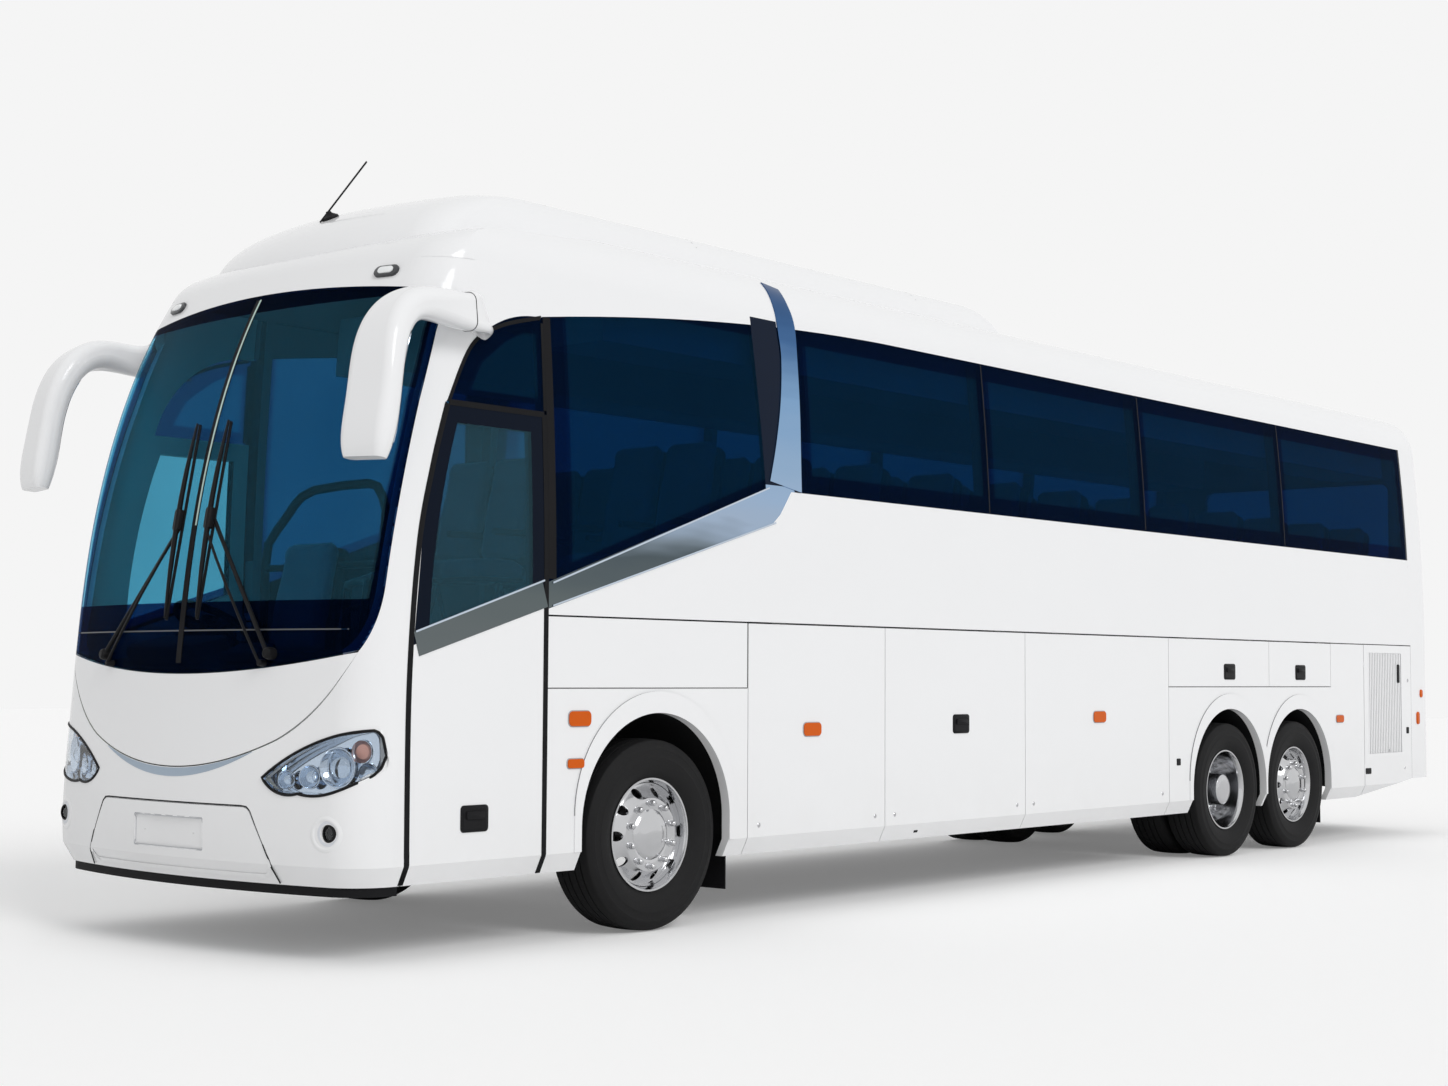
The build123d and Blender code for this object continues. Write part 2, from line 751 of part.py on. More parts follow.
with BuildPart() as door_leaf:
    add(nose_shell)
    add(side_prism(door_region(0)), mode=Mode.INTERSECT)
    add(pane_prism, mode=Mode.SUBTRACT)
    for height in arm_heights:
        for side in (-1, 1):
            base = height + side * (arm_thick / 2 + seat_gap) + (0 if side > 0 else -arm_thick / 2)
            with BuildSketch(Plane.XY.offset(base)):
                with Locations((leaf_pivot[0], at(leaf_pivot[1]))):
                    Circle(eye_r)
                    reach = half_width - wall - leaf_pivot[0] + 5
                    Rectangle(reach, 2 * eye_r, align=(Align.MIN, Align.CENTER))
            extrude(amount=arm_thick / 2)
        with BuildSketch(Plane.XY.offset(height - arm_thick)):
            with Locations((leaf_pivot[0], at(leaf_pivot[1]))):
                Circle(pin_r)
        extrude(amount=2 * arm_thick)
save(door_leaf.part, "entry_door")

with BuildPart() as door_glass:
    add(pane_shell)
    add(pane_prism, mode=Mode.INTERSECT)
save(door_glass.part, "entry_door_glass")

with BuildPart() as door_arm:
    with BuildSketch(Plane.XY.offset(post_foot)):
        with Locations((arm_pivot[0], at(arm_pivot[1]))):
            Circle(post_r)
    extrude(amount=arm_heights[1] + arm_thick - post_foot)
    for height in arm_heights:
        with BuildSketch(Plane.XY.offset(height - arm_thick / 2)):
            with Locations((arm_pivot[0], at(arm_pivot[1]))):
                Circle(post_r + 8)
                Rectangle(2 * pin_r + 6, arm_reach, align=(Align.CENTER, Align.MIN))
            with Locations((leaf_pivot[0], at(leaf_pivot[1]))):
                Circle(eye_r)
                Circle(pin_r + seat_gap, mode=Mode.SUBTRACT)
        extrude(amount=arm_thick)
save(door_arm.part, "entry_door_arm")

# ---------------------------------------------------------------- side glass and bright trim
pane_seam = 8

with BuildPart() as window_glass:
    with BuildSketch(across(nose_end)):
        add(section_band(belt_z + 20, glass_top_z, 0, pane_thick))
    extrude(amount=-(pane_end - nose_end))
    cover = glass_region(nose_end, pane_end, glass_low_z) + band_window
    keep = cover - pillar
    for joint in (nose_end + pane_seam / 2, 5380, 7410, 9650):
        seam = region(
            (joint - pane_seam / 2, belt_z), (joint - pane_seam / 2, roof_z),
            (joint + pane_seam / 2, roof_z), (joint + pane_seam / 2, belt_z),
        )
        keep = keep - seam
    add(side_prism(keep), mode=Mode.INTERSECT)
    add(trim_left.part, mode=Mode.SUBTRACT)
    add(pane_shell & quarter_prism)
    add(mirror(window_glass.part, about=Plane.YZ))
    add(pane_shell & driver_prism)
save(window_glass.part, "window_glass")

# ---------------------------------------------------------------- tail
tail_corner = 140
hatch_half = 900
hatch_low, hatch_high = 700, 1780
rear_pane = (1840, 760)
rear_pane_z = 2760
tail_lamp = (120, 620)
tail_lamp_places = [(-1020, 1290), (1020, 1290)]
tail_lamp_out = 3


def tail_solid(depth):
    low = tail_foot[2] - depth / 10
    with BuildPart(mode=Mode.PRIVATE) as tail:
        with BuildSketch(across(tail_joint)):
            add(full_section(depth, low))
        extrude(amount=-(body_length - depth - tail_joint))
        rear_face = tail.faces().sort_by(Axis.Y)[-1]
        fillet([edge for edge in rear_face.edges() if edge.center().Z > low + 1], tail_corner - depth)
    return tail.part


outer_tail = tail_solid(0)
with BuildPart() as rear_wall:
    add(outer_tail)
    add(tail_solid(wall), mode=Mode.SUBTRACT)
    with BuildSketch(across(body_length - 3 * wall)):
        with Locations((0, (hatch_low + hatch_high) / 2)):
            Rectangle(2 * hatch_half, hatch_high - hatch_low)
        with Locations((0, rear_pane_z)):
            RectangleRounded(*rear_pane, 80)
        with Locations(*tail_lamp_places):
            RectangleRounded(*tail_lamp, 30)
    extrude(amount=-4 * wall, mode=Mode.SUBTRACT)
    for place in (-hatch_half / 2, hatch_half / 2):
        line = (0, at(body_length), hatch_high - hinge_gap)
        add(barrels(line, place, (1, 0, 0), (0, 0, 1), False))
save(rear_wall.part, "rear_wall")

with BuildPart() as rear_hatch:
    with BuildSketch(across(body_length - wall)):
        with Locations((0, hatch_low + shut_gap)):
            Rectangle(
                2 * (hatch_half - shut_gap), hatch_high - hatch_low - shut_gap - 2 * hinge_gap,
                align=(Align.CENTER, Align.MIN),
            )
    extrude(amount=-wall)
    for place in (-hatch_half / 2, hatch_half / 2):
        line = (0, at(body_length), hatch_high - hinge_gap)
        add(barrels(line, place, (1, 0, 0), (0, 0, -1), True))
save(rear_hatch.part, "rear_hatch")

with BuildPart() as rear_glass:
    with BuildSketch(across(body_length - pane_thick)):
        with Locations((0, rear_pane_z)):
            RectangleRounded(*rear_pane, 80)
    extrude(amount=-pane_thick)
save(rear_glass.part, "rear_window")

with BuildPart() as tail_lamps:
    with BuildSketch(across(body_length - wall)):
        with Locations(*tail_lamp_places):
            RectangleRounded(*tail_lamp, 30)
    extrude(amount=-wall - tail_lamp_out)
save(tail_lamps.part, "tail_lamps")

# ---------------------------------------------------------------- frame, bays and decks
inner_half = half_width - wall - rail_gap      # everything behind a lid stays inside this
rail_x = 400
rail_width = 80
rail_z = (600, 760)
rail_ends = [(330, quarter_end - 20), (bay_joints[-1] + 20, 12300)]
bulkhead_thick = 40
bay_floor_z = (410, 460)
cross_stations = [420, 1540, 2000, 2780, 7900, 8400, 8960, 9650, 10050, 11000, 12200]
cross_width = 80
deck_post_stations = [1540, 2780, 7900, 9280, 10700]
cab_floor_z = (950, 1000)
cab_front = 330
well_x = 490
well_rear = 1440
jack_pad = (120, 25)
jack_stations = [2650, 10300]
tow_eye_r = 21
tow_length = 90
tow_z = 430                 # below the tail, so a pin goes in from the rear
tow_block = (80, 80)

with BuildPart() as chassis:
    for front, rear in rail_ends:
        with BuildSketch(across(front)):
            with Locations((-rail_x, sum(rail_z) / 2), (rail_x, sum(rail_z) / 2)):
                Rectangle(rail_width, rail_z[1] - rail_z[0])
        extrude(amount=-(rear - front))
    for station in cross_stations:
        with BuildSketch(Plane.XY.offset(rail_z[0] + 20)):
            with Locations((0, at(station))):
                Rectangle(2 * rail_x, cross_width)
        extrude(amount=rail_z[1] - rail_z[0] - 40)
    for station in deck_post_stations:
        with BuildSketch(Plane.XY.offset(rail_z[1])):
            with Locations((-rail_x, at(station)), (rail_x, at(station))):
                Rectangle(60, 60)
        extrude(amount=deck_z - deck_thick - rail_z[1])
    for station in jack_stations:
        with BuildSketch(Plane.XY.offset(rail_z[0] - jack_pad[1])):
            with Locations((-rail_x, at(station)), (rail_x, at(station))):
                Rectangle(jack_pad[0], jack_pad[0])
        extrude(amount=jack_pad[1])
    with BuildSketch(across(rail_ends[1][1] - tow_length)):
        with Locations((rail_x, tow_z - tow_block[1] / 2)):
            Rectangle(tow_block[0], rail_z[0] - tow_z + tow_block[1] / 2, align=(Align.CENTER, Align.MIN))
    extrude(amount=-tow_length)
    with BuildSketch(across(rail_ends[1][1] - tow_length - 1)):
        with Locations((rail_x, tow_z)):
            Circle(tow_eye_r)
    extrude(amount=-tow_length - 2, mode=Mode.SUBTRACT)
save(chassis.part, "chassis")

with BuildPart() as luggage_bay:
    with BuildSketch(Plane.XY.offset(bay_floor_z[0])):
        with Locations((0, at(bay_joints[0] - bulkhead_thick / 2))):
            Rectangle(
                2 * (inner_half - chamfer_in), bay_joints[-1] - bay_joints[0] + bulkhead_thick,
                align=(Align.CENTER, Align.MIN),
            )
    extrude(amount=bay_floor_z[1] - bay_floor_z[0])
    for station in bay_joints:
        with BuildSketch(across(station - bulkhead_thick / 2)):
            with Locations((0, bay_floor_z[1])):
                Rectangle(
                    2 * inner_half, deck_z - deck_thick - bay_floor_z[1], align=(Align.CENTER, Align.MIN)
                )
        extrude(amount=-bulkhead_thick)
save(luggage_bay.part, "luggage_bay")

with BuildPart() as deck:
    with BuildSketch(Plane.XY.offset(deck_z - deck_thick)):
        with Locations((0, at(well_rear))):
            Rectangle(2 * inner_half, tail_joint - well_rear, align=(Align.CENTER, Align.MIN))
    extrude(amount=deck_thick)
    with BuildSketch(Plane.XY.offset(cab_floor_z[0])):
        with Locations((well_x, at(cab_front + 130))):
            Rectangle(inner_half + well_x, well_rear - cab_front - 130, align=(Align.MAX, Align.MIN))
    extrude(amount=cab_floor_z[1] - cab_floor_z[0])
    with BuildSketch(Plane.XY.offset(step_z - step_thick)):
        with Locations((well_x - 40, at(door_front + 30))):
            Rectangle(step_edge - well_x + 40, well_rear - door_front - 30, align=(Align.MIN, Align.MIN))
    extrude(amount=step_thick)
    with BuildSketch(Plane.XY.offset(step_z)):
        with Locations((well_x - 40, at(door_front + 30))):
            Rectangle(40, well_rear - door_front - 30, align=(Align.MIN, Align.MIN))
        with Locations((well_x - 40, at(door_front + 30))):
            Rectangle(420, well_rear - door_front - 30, align=(Align.MIN, Align.MIN))
    extrude(amount=280)
    with BuildSketch(Plane.XY.offset(step_z)):
        with Locations((well_x - 40, at(door_front + 30))):
            Rectangle(40, well_rear - door_front - 30, align=(Align.MIN, Align.MIN))
    extrude(amount=cab_floor_z[1] - step_z)
    with BuildSketch(across(well_rear)):
        with Locations((0, chamfer_z + rail_gap)):
            Rectangle(2 * inner_half, deck_z - chamfer_z - rail_gap, align=(Align.CENTER, Align.MIN))
        with Locations((0, sum(rail_z) / 2)):
            Rectangle(2 * rail_x + 100, 220, mode=Mode.SUBTRACT)
    extrude(amount=-40)
save(deck.part, "deck")

# ---------------------------------------------------------------- axles
spindle_r = 38
spindle_end = 1185
kingpin_x = 895
kingpin_r = 20
boss_r = 46
boss_half = 75
ear_thick = 34
beam_z = (440, 530)
axle_stations = (front_axle, drive_axle, tag_axle)
perch = 110
drive_tube_r = 75
housing_r = 215

with BuildPart() as axles:
    with BuildSketch(Plane.XY.offset(beam_z[0])):
        with Locations((0, at(front_axle))):
            Rectangle(2 * kingpin_x, 110)
            with Locations((-kingpin_x, 0), (kingpin_x, 0)):
                Circle(boss_r)
    extrude(amount=beam_z[1] - beam_z[0])
    with BuildSketch(Plane.XY.offset(wheel_radius - boss_half)):
        with Locations((-kingpin_x, at(front_axle)), (kingpin_x, at(front_axle))):
            Circle(boss_r)
    extrude(amount=2 * boss_half)
    with BuildSketch(Plane.XY.offset(wheel_radius - boss_half - 1)):
        with Locations((-kingpin_x, at(front_axle)), (kingpin_x, at(front_axle))):
            Circle(kingpin_r + seat_gap)
    extrude(amount=2 * boss_half + 2, mode=Mode.SUBTRACT)
    for station in axle_stations[1:]:
        with BuildSketch(Plane.YZ.offset(-spindle_end)):
            with Locations((at(station), wheel_radius)):
                Circle(spindle_r)
        extrude(amount=2 * spindle_end)
        with BuildSketch(Plane.YZ.offset(-rail_x - 190)):
            with Locations((at(station), wheel_radius)):
                Circle(drive_tube_r)
        extrude(amount=2 * rail_x + 380)
    with BuildSketch(Plane.YZ.offset(-housing_r / 2)):
        with Locations((at(drive_axle), wheel_radius)):
            Circle(housing_r)
    extrude(amount=housing_r)
    for station in axle_stations:
        with BuildSketch(Plane.XY.offset(wheel_radius)):
            with Locations((-rail_x, at(station)), (rail_x, at(station))):
                Rectangle(perch, perch)
        extrude(amount=rail_z[0] - wheel_radius)
save(axles.part, "axles")

with BuildPart() as knuckle:
    for base in (wheel_radius - boss_half - seat_gap - ear_thick, wheel_radius + boss_half + seat_gap):
        with BuildSketch(Plane.XY.offset(base)):
            with Locations((kingpin_x, at(front_axle))):
                Circle(boss_r)
                Rectangle(boss_r + 40, 2 * boss_r, align=(Align.MIN, Align.CENTER))
        extrude(amount=ear_thick)
    with BuildSketch(Plane.XY.offset(wheel_radius - boss_half - ear_thick)):
        with Locations((kingpin_x, at(front_axle))):
            Circle(kingpin_r)
        with Locations((kingpin_x + boss_r + 8, at(front_axle))):
            Rectangle(32, 2 * boss_r, align=(Align.MIN, Align.CENTER))
    extrude(amount=2 * (boss_half + ear_thick))
    with BuildSketch(Plane.YZ.offset(kingpin_x + boss_r + 20)):
        with Locations((at(front_axle), wheel_radius)):
            Circle(spindle_r)
    extrude(amount=spindle_end - kingpin_x - boss_r - 20)
save(knuckle.part, "knuckle_left")
save(mirror(knuckle.part, about=Plane.YZ), "knuckle_right")

# ---------------------------------------------------------------- wheels and tyres
tyre_half = 147.5
tyre_centre = 1098
twin_pitch = 325
rim_r = 285.75
flange_r = 300
flange_half = 117
flange_thick = 11
bead_half = 104
hub_r = 112
hub_bore_r = spindle_r + seat_gap
disc_thick = 22
hand_hole_r = 31
hand_hole_count = 10
hand_hole_pitch_r = 214
rim_barrel = 12
dish_r = 262              # dish of the twin wheels

# Wheel bodies of one side: name, station, disc face and hub ends from the tyre centre, tyre centres.
single = [tyre_centre]
twin = [tyre_centre, tyre_centre - twin_pitch]
wheel_rows = [
    ("front", front_axle, 62, -110, 128, single),
    ("drive", drive_axle, disc_thick - twin_pitch / 2, -250, 107, twin),
    ("tag", tag_axle, 62, -110, 128, single),
]


def tyre_ring(centre):
    """Profile of one tyre, radius along local y, to be turned about the wheel's axis."""
    half = [
        (bead_half, rim_r + seat_gap), (bead_half, flange_r + 8), (tyre_half - 12, 345),
        (tyre_half, 405), (tyre_half - 6, 462), (tyre_half - 27, wheel_radius - 8),
        (tyre_half - 55, wheel_radius),
    ]
    outline = [(centre + x, r) for x, r in half] + [(centre - x, r) for x, r in reversed(half)]
    with BuildSketch(mode=Mode.PRIVATE) as ring:
        with BuildLine():
            Polyline(*outline, close=True)
        make_face()
    return ring.sketch


def rim_ring(centre):
    """Profile of one rim barrel with its two flanges."""
    inner = rim_r - rim_barrel
    outline = [
        (-flange_half, inner), (flange_half, inner), (flange_half, flange_r),
        (flange_half - flange_thick, flange_r), (flange_half - flange_thick, rim_r),
        (flange_thick - flange_half, rim_r), (flange_thick - flange_half, flange_r),
        (-flange_half, flange_r),
    ]
    with BuildSketch(mode=Mode.PRIVATE) as ring:
        with BuildLine():
            Polyline(*[(centre + x, r) for x, r in outline], close=True)
        make_face()
    return ring.sketch


def box_ring(start, end, inner, outer):
    with BuildSketch(mode=Mode.PRIVATE) as ring:
        with Locations((start, inner)):
            Rectangle(end - start, outer - inner, align=(Align.MIN, Align.MIN))
    return ring.sketch


def dish_rings(middle):
    """What joins the twin rims to their discs, which meet between the tyres."""
    web = twin_pitch / 2 - flange_half + disc_thick
    with BuildSketch(mode=Mode.PRIVATE) as rings:
        add(box_ring(middle - web, middle + web, dish_r - rim_barrel, dish_r))
        add(box_ring(middle - disc_thick, middle, hub_bore_r, dish_r))
        add(box_ring(middle - web, middle - web + disc_thick, dish_r - 1, rim_r - 1))
        add(box_ring(middle + web - disc_thick, middle + web, dish_r - 1, rim_r - 1))
    return rings.sketch


for name, station, disc, hub_start, hub_end, centres in wheel_rows:
    hub_axis = Axis((0, at(station), wheel_radius), (1, 0, 0))
    hub_plane = Plane(origin=(0, at(station), wheel_radius), x_dir=(1, 0, 0), z_dir=(0, -1, 0))
    with BuildPart() as tyre:
        with BuildSketch(hub_plane):
            for centre in centres:
                add(tyre_ring(centre))
        revolve(axis=hub_axis)
    save(tyre.part, f"tyre_{name}_left")
    save(mirror(tyre.part, about=Plane.YZ), f"tyre_{name}_right")

    disc_face = tyre_centre + disc
    with BuildPart() as wheel:
        with BuildSketch(hub_plane):
            for centre in centres:
                add(rim_ring(centre))
            disc_r = rim_r - 1 if centres is single else dish_r
            add(box_ring(disc_face - disc_thick, disc_face, hub_bore_r, disc_r))
            add(box_ring(tyre_centre + hub_start, tyre_centre + hub_end, hub_bore_r, hub_r))
            if centres is twin:
                add(dish_rings(tyre_centre - twin_pitch / 2))
            cap_end = max(tyre_centre + hub_end, spindle_end + 20)
            add(box_ring(spindle_end + seat_gap, cap_end, 0, hub_r - 12))
        revolve(axis=hub_axis)
        with BuildSketch(Plane.YZ.offset(disc_face - 2 * disc_thick - 1)):
            with Locations((at(station), wheel_radius)):
                with PolarLocations(hand_hole_pitch_r, hand_hole_count):
                    Circle(hand_hole_r)
        extrude(amount=2 * disc_thick + 2, mode=Mode.SUBTRACT)
    save(wheel.part, f"wheel_{name}_left")
    save(mirror(wheel.part, about=Plane.YZ), f"wheel_{name}_right")

# ---------------------------------------------------------------- arch liners and rubber
liner_gap = 9               # rear liner outside the arch opening, bedded on the wall
liner_thick = 5
liner_inner_x = 560
liner_low = 470
steer_room = 655            # front liner's radius round the hub, for the steered tyre
flap_thick = 8
front_flap_station = front_axle + steer_room + liner_thick
tag_flap_station = arches["tag"][0] + arches["tag"][1] + liner_gap + liner_thick
lip_height = 45
lip_thick = 12


def front_room(radius):
    with BuildSketch(mode=Mode.PRIVATE) as sketch:
        with Locations((at(front_axle), wheel_radius)):
            Circle(radius)
            Rectangle(2 * radius, wheel_radius, align=(Align.CENTER, Align.MAX))
    return sketch.sketch


liner_grow = liner_gap + liner_thick
front_liner = front_room(steer_room + liner_thick) - front_room(steer_room)
rear_liner = (arch_region("drive", liner_grow) + arch_region("tag", liner_grow)) - (
    arch_region("drive", liner_gap) + arch_region("tag", liner_gap)
)
below_liner = region((0, -body_width), (0, liner_low), (body_length, liner_low), (body_length, -body_width))

with BuildPart() as arch_liners:
    with BuildSketch(Plane.YZ.offset(liner_inner_x)):
        add(front_liner - below_liner)
        add(rear_liner - below_liner)
    extrude(amount=half_width - wall - liner_inner_x)
    add(mirror(arch_liners.part, about=Plane.YZ))
save(arch_liners.part, "arch_liners")

with BuildPart() as rubber_flaps:
    for station in (front_flap_station, tag_flap_station):
        with BuildSketch(across(station)):
            with Locations((half_width - wall - chamfer_in - 8, 170)):
                Rectangle(280, 640, align=(Align.MAX, Align.MIN))
        extrude(amount=-flap_thick)
    add(mirror(rubber_flaps.part, about=Plane.YZ))
    foot = (skirt_z, half_width - chamfer_in, front_line[0][1] + chamfer_in)
    with BuildSketch(Plane.XY.offset(skirt_z - lip_height)):
        add(nose_outline(*foot, lip_thick, nose_end))
        add(nose_outline(*foot, 2 * lip_thick, nose_end + 1), mode=Mode.SUBTRACT)
        with Locations((0, at(door_front - door_gap))):
            Rectangle(body_width, body_length, align=(Align.CENTER, Align.MIN), mode=Mode.SUBTRACT)
    extrude(amount=lip_height)
save(rubber_flaps.part, "rubber_flaps")

# ---------------------------------------------------------------- inside
seat_rows = 12
seat_first = 2350
seat_pitch = 790
seat_x = (300, 1130)
seat_height = 430
seat_depth = 440
back_height = 1130
back_thick = 110
back_lean = 130
driver_x = -560
driver_station = 830


def seat_solid(station, start, end, floor):
    """Cushion, base and leaning back of a seat across its width."""
    front, rear = station, station + seat_depth
    with BuildPart(mode=Mode.PRIVATE) as seat:
        with BuildSketch(Plane.YZ.offset(start)):
            with BuildLine():
                Polyline(
                    (at(front + 120), floor), (at(front + 120), floor + seat_height - 110),
                    (at(front), floor + seat_height - 110), (at(front), floor + seat_height),
                    (at(rear - back_thick), floor + seat_height),
                    (at(rear - back_thick + back_lean), floor + back_height),
                    (at(rear + back_lean), floor + back_height), (at(rear), floor + seat_height - 60),
                    (at(rear), floor), close=True,
                )
            make_face()
        extrude(amount=end - start)
    return seat.part


with BuildPart() as seats:
    for row in range(seat_rows):
        add(seat_solid(seat_first + row * seat_pitch, *seat_x, deck_z))
    add(mirror(seats.part, about=Plane.YZ))
    add(seat_solid(driver_station, driver_x - 240, driver_x + 240, cab_floor_z[1]))
save(seats.part, "seats")

# Overhead racks along both sides, against the window posts.
rack_stations = (1900, 11900)
rack_z = (3130, 3470)
rack_inner_x = 640

with BuildPart() as overhead_racks:
    with BuildSketch(across(rack_stations[0])):
        add(full_section(wall + sill_rail, skirt_z))
        with Locations((rack_inner_x, rack_z[0])):
            Rectangle(half_width, rack_z[1] - rack_z[0], align=(Align.MIN, Align.MIN), mode=Mode.INTERSECT)
    extrude(amount=rack_stations[0] - rack_stations[1])
    add(mirror(overhead_racks.part, about=Plane.YZ))
save(overhead_racks.part, "overhead_racks")

dash_x = (-1070, 1000)
dash_stations = (235, 620)
dash_z = (cab_floor_z[1], 1430)
wheel_ring_r = 225
wheel_tube_r = 16
column_r = 28
steer_centre = (driver_x, 650, 1600)
steer_tilt = 30

with BuildPart() as dashboard:
    with BuildSketch(Plane.YZ.offset(dash_x[0])):
        with BuildLine():
            Polyline(
                (at(cab_front + 130), dash_z[0]), (at(dash_stations[0]), dash_z[0] + 150),
                (at(dash_stations[0]), dash_z[1] - 60), (at(dash_stations[0] + 200), dash_z[1]),
                (at(dash_stations[1]), dash_z[1] - 30),
                (at(dash_stations[1] - 60), dash_z[0]), close=True,
            )
        make_face()
    extrude(amount=dash_x[1] - dash_x[0])
    steer_plane = Plane(
        origin=(steer_centre[0], at(steer_centre[1]), steer_centre[2]), x_dir=(1, 0, 0),
        z_dir=(0, sin(radians(steer_tilt)), cos(radians(steer_tilt))),
    )
    with BuildSketch(steer_plane):
        Circle(wheel_ring_r)
        Circle(wheel_ring_r - 2 * wheel_tube_r, mode=Mode.SUBTRACT)
        Rectangle(2 * wheel_ring_r - wheel_tube_r, 2.5 * wheel_tube_r)
    extrude(amount=1.5 * wheel_tube_r)
    with BuildSketch(steer_plane):
        Circle(column_r)
    extrude(amount=-300)
save(dashboard.part, "dashboard")

engine_size = (960, 1150, 640)
engine_front = 11050
with BuildPart() as engine:
    with BuildSketch(Plane.XY.offset(rail_z[1])):
        with Locations((0, at(engine_front))):
            Rectangle(engine_size[0], engine_size[1], align=(Align.CENTER, Align.MIN))
    extrude(amount=engine_size[2])
save(engine.part, "engine")

# ---------------------------------------------------------------- mirrors, wipers, lamps, aerial
# Sections along a mirror: place (x, station, height), heading (x, forward, up), size across the arm
# and its other size, which turns from upright on the arm to fore and aft on the head.
mirror_rows = [
    ((1190, 915, 3090), (0.75, 0.66, 0.05), 90, 200),
    ((1325, 718, 3100), (0.30, 0.95, 0.00), 105, 185),
    ((1335, 488, 3105), (0.00, 1.00, -0.10), 150, 165),
    ((1338, 278, 3040), (0.00, 0.70, -0.70), 225, 150),
    ((1355, 170, 2880), (0.03, 0.30, -0.95), 265, 135),
    ((1372, 117, 2640), (0.02, 0.18, -0.98), 275, 125),
    ((1372, 78, 2400), (0.00, 0.15, -0.99), 262, 110),
    ((1370, 72, 2335), (0.00, 0.12, -0.99), 225, 80),
]
section_round = 0.42        # corner radius over the section's smaller size
toe = 0.13                  # turns the heads outwards

with BuildPart() as mirrors:
    for place, heading, width, height in mirror_rows:
        direction = Vector(heading[0], -heading[1], heading[2]).normalized()
        sideways = direction.cross(Vector(toe, -0.6, 0.8)).normalized()
        section_plane = Plane(
            origin=(place[0], at(place[1]), place[2]), x_dir=direction.cross(sideways), z_dir=direction
        )
        with BuildSketch(section_plane):
            RectangleRounded(height, width, section_round * min(width, height))
    loft()
    add(outer_nose, mode=Mode.SUBTRACT)
    add(mirror(mirrors.part, about=Plane.YZ))
save(mirrors.part, "mirrors")

# Wipers: pivot x and height, arm head x, blade top and foot heights.
wiper_rows = [(-674, 1442, -95, 2605, 1613), (680, 1444, 160, 2605, 1613)]
wiper_out = 34              # arm and blade in front of the glass
blade_r, arm_r, pivot_r = 8, 11, 17


def on_glass(x, z, out):
    """Point in front of the windscreen at a place seen from the front."""
    return Vector(x, at(front_at(z) + bow_r - sqrt(bow_r ** 2 - x ** 2) - out), z)


with BuildPart() as wipers:
    for pivot_x, pivot_z, head_x, blade_top, blade_foot in wiper_rows:
        top, foot = on_glass(head_x, blade_top, wiper_out), on_glass(head_x, blade_foot, wiper_out)
        pivot = on_glass(pivot_x, pivot_z, wiper_out)
        runs = [
            (foot, top, blade_r),
            (pivot, (top + foot) / 2, arm_r),
            (
                on_glass(pivot_x, pivot_z, -glass_thick),
                on_glass(pivot_x, pivot_z, wiper_out + pivot_r), pivot_r,
            ),
        ]
        for start, end, radius in runs:
            direction = end - start
            with BuildSketch(Plane(origin=start, z_dir=direction)):
                Circle(radius)
            extrude(amount=direction.length)
    add(outer_nose, mode=Mode.SUBTRACT)
save(wipers.part, "wipers")

# Side markers of the left side: station, height, length and height of the lens.
marker_rows = [
    (1581, 1130, 157, 76), (1554, 903, 116, 46), (3496, 1047, 159, 75), (6716, 1083, 160, 75),
    (10592, 1025, 136, 58),
]
marker_out = 9

with BuildPart() as markers:
    for station, height, length, rise in marker_rows:
        with BuildSketch(Plane.YZ.offset(half_width + seat_gap)):
            with Locations((at(station), height)):
                RectangleRounded(length, rise, rise / 3)
        extrude(amount=marker_out)
    add(wall_left.part, mode=Mode.SUBTRACT)
    add(mirror(markers.part, about=Plane.YZ))
save(markers.part, "markers")

aerial_foot = (0, 950, 3830)
aerial_tip = (60, 1140, 4110)
aerial_r = 5
aerial_root = 100           # length below its foot, cut off at the pod
with BuildPart() as aerial:
    direction = Vector(aerial_tip[0], aerial_tip[1] - aerial_foot[1], aerial_tip[2] - aerial_foot[2])
    start = Vector(0, at(aerial_foot[1]), aerial_foot[2]) - direction.normalized() * aerial_root
    with BuildSketch(Plane(origin=start, z_dir=direction)):
        Circle(aerial_r)
    extrude(amount=direction.length + aerial_root)
    add(roof_pod.part, mode=Mode.SUBTRACT)
save(aerial.part, "aerial")
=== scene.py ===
import bpy, bmesh, json
from functools import reduce
from math import cos, pi, radians, sin, sqrt
from mathutils import Matrix, Vector
from mathutils.bvhtree import BVHTree

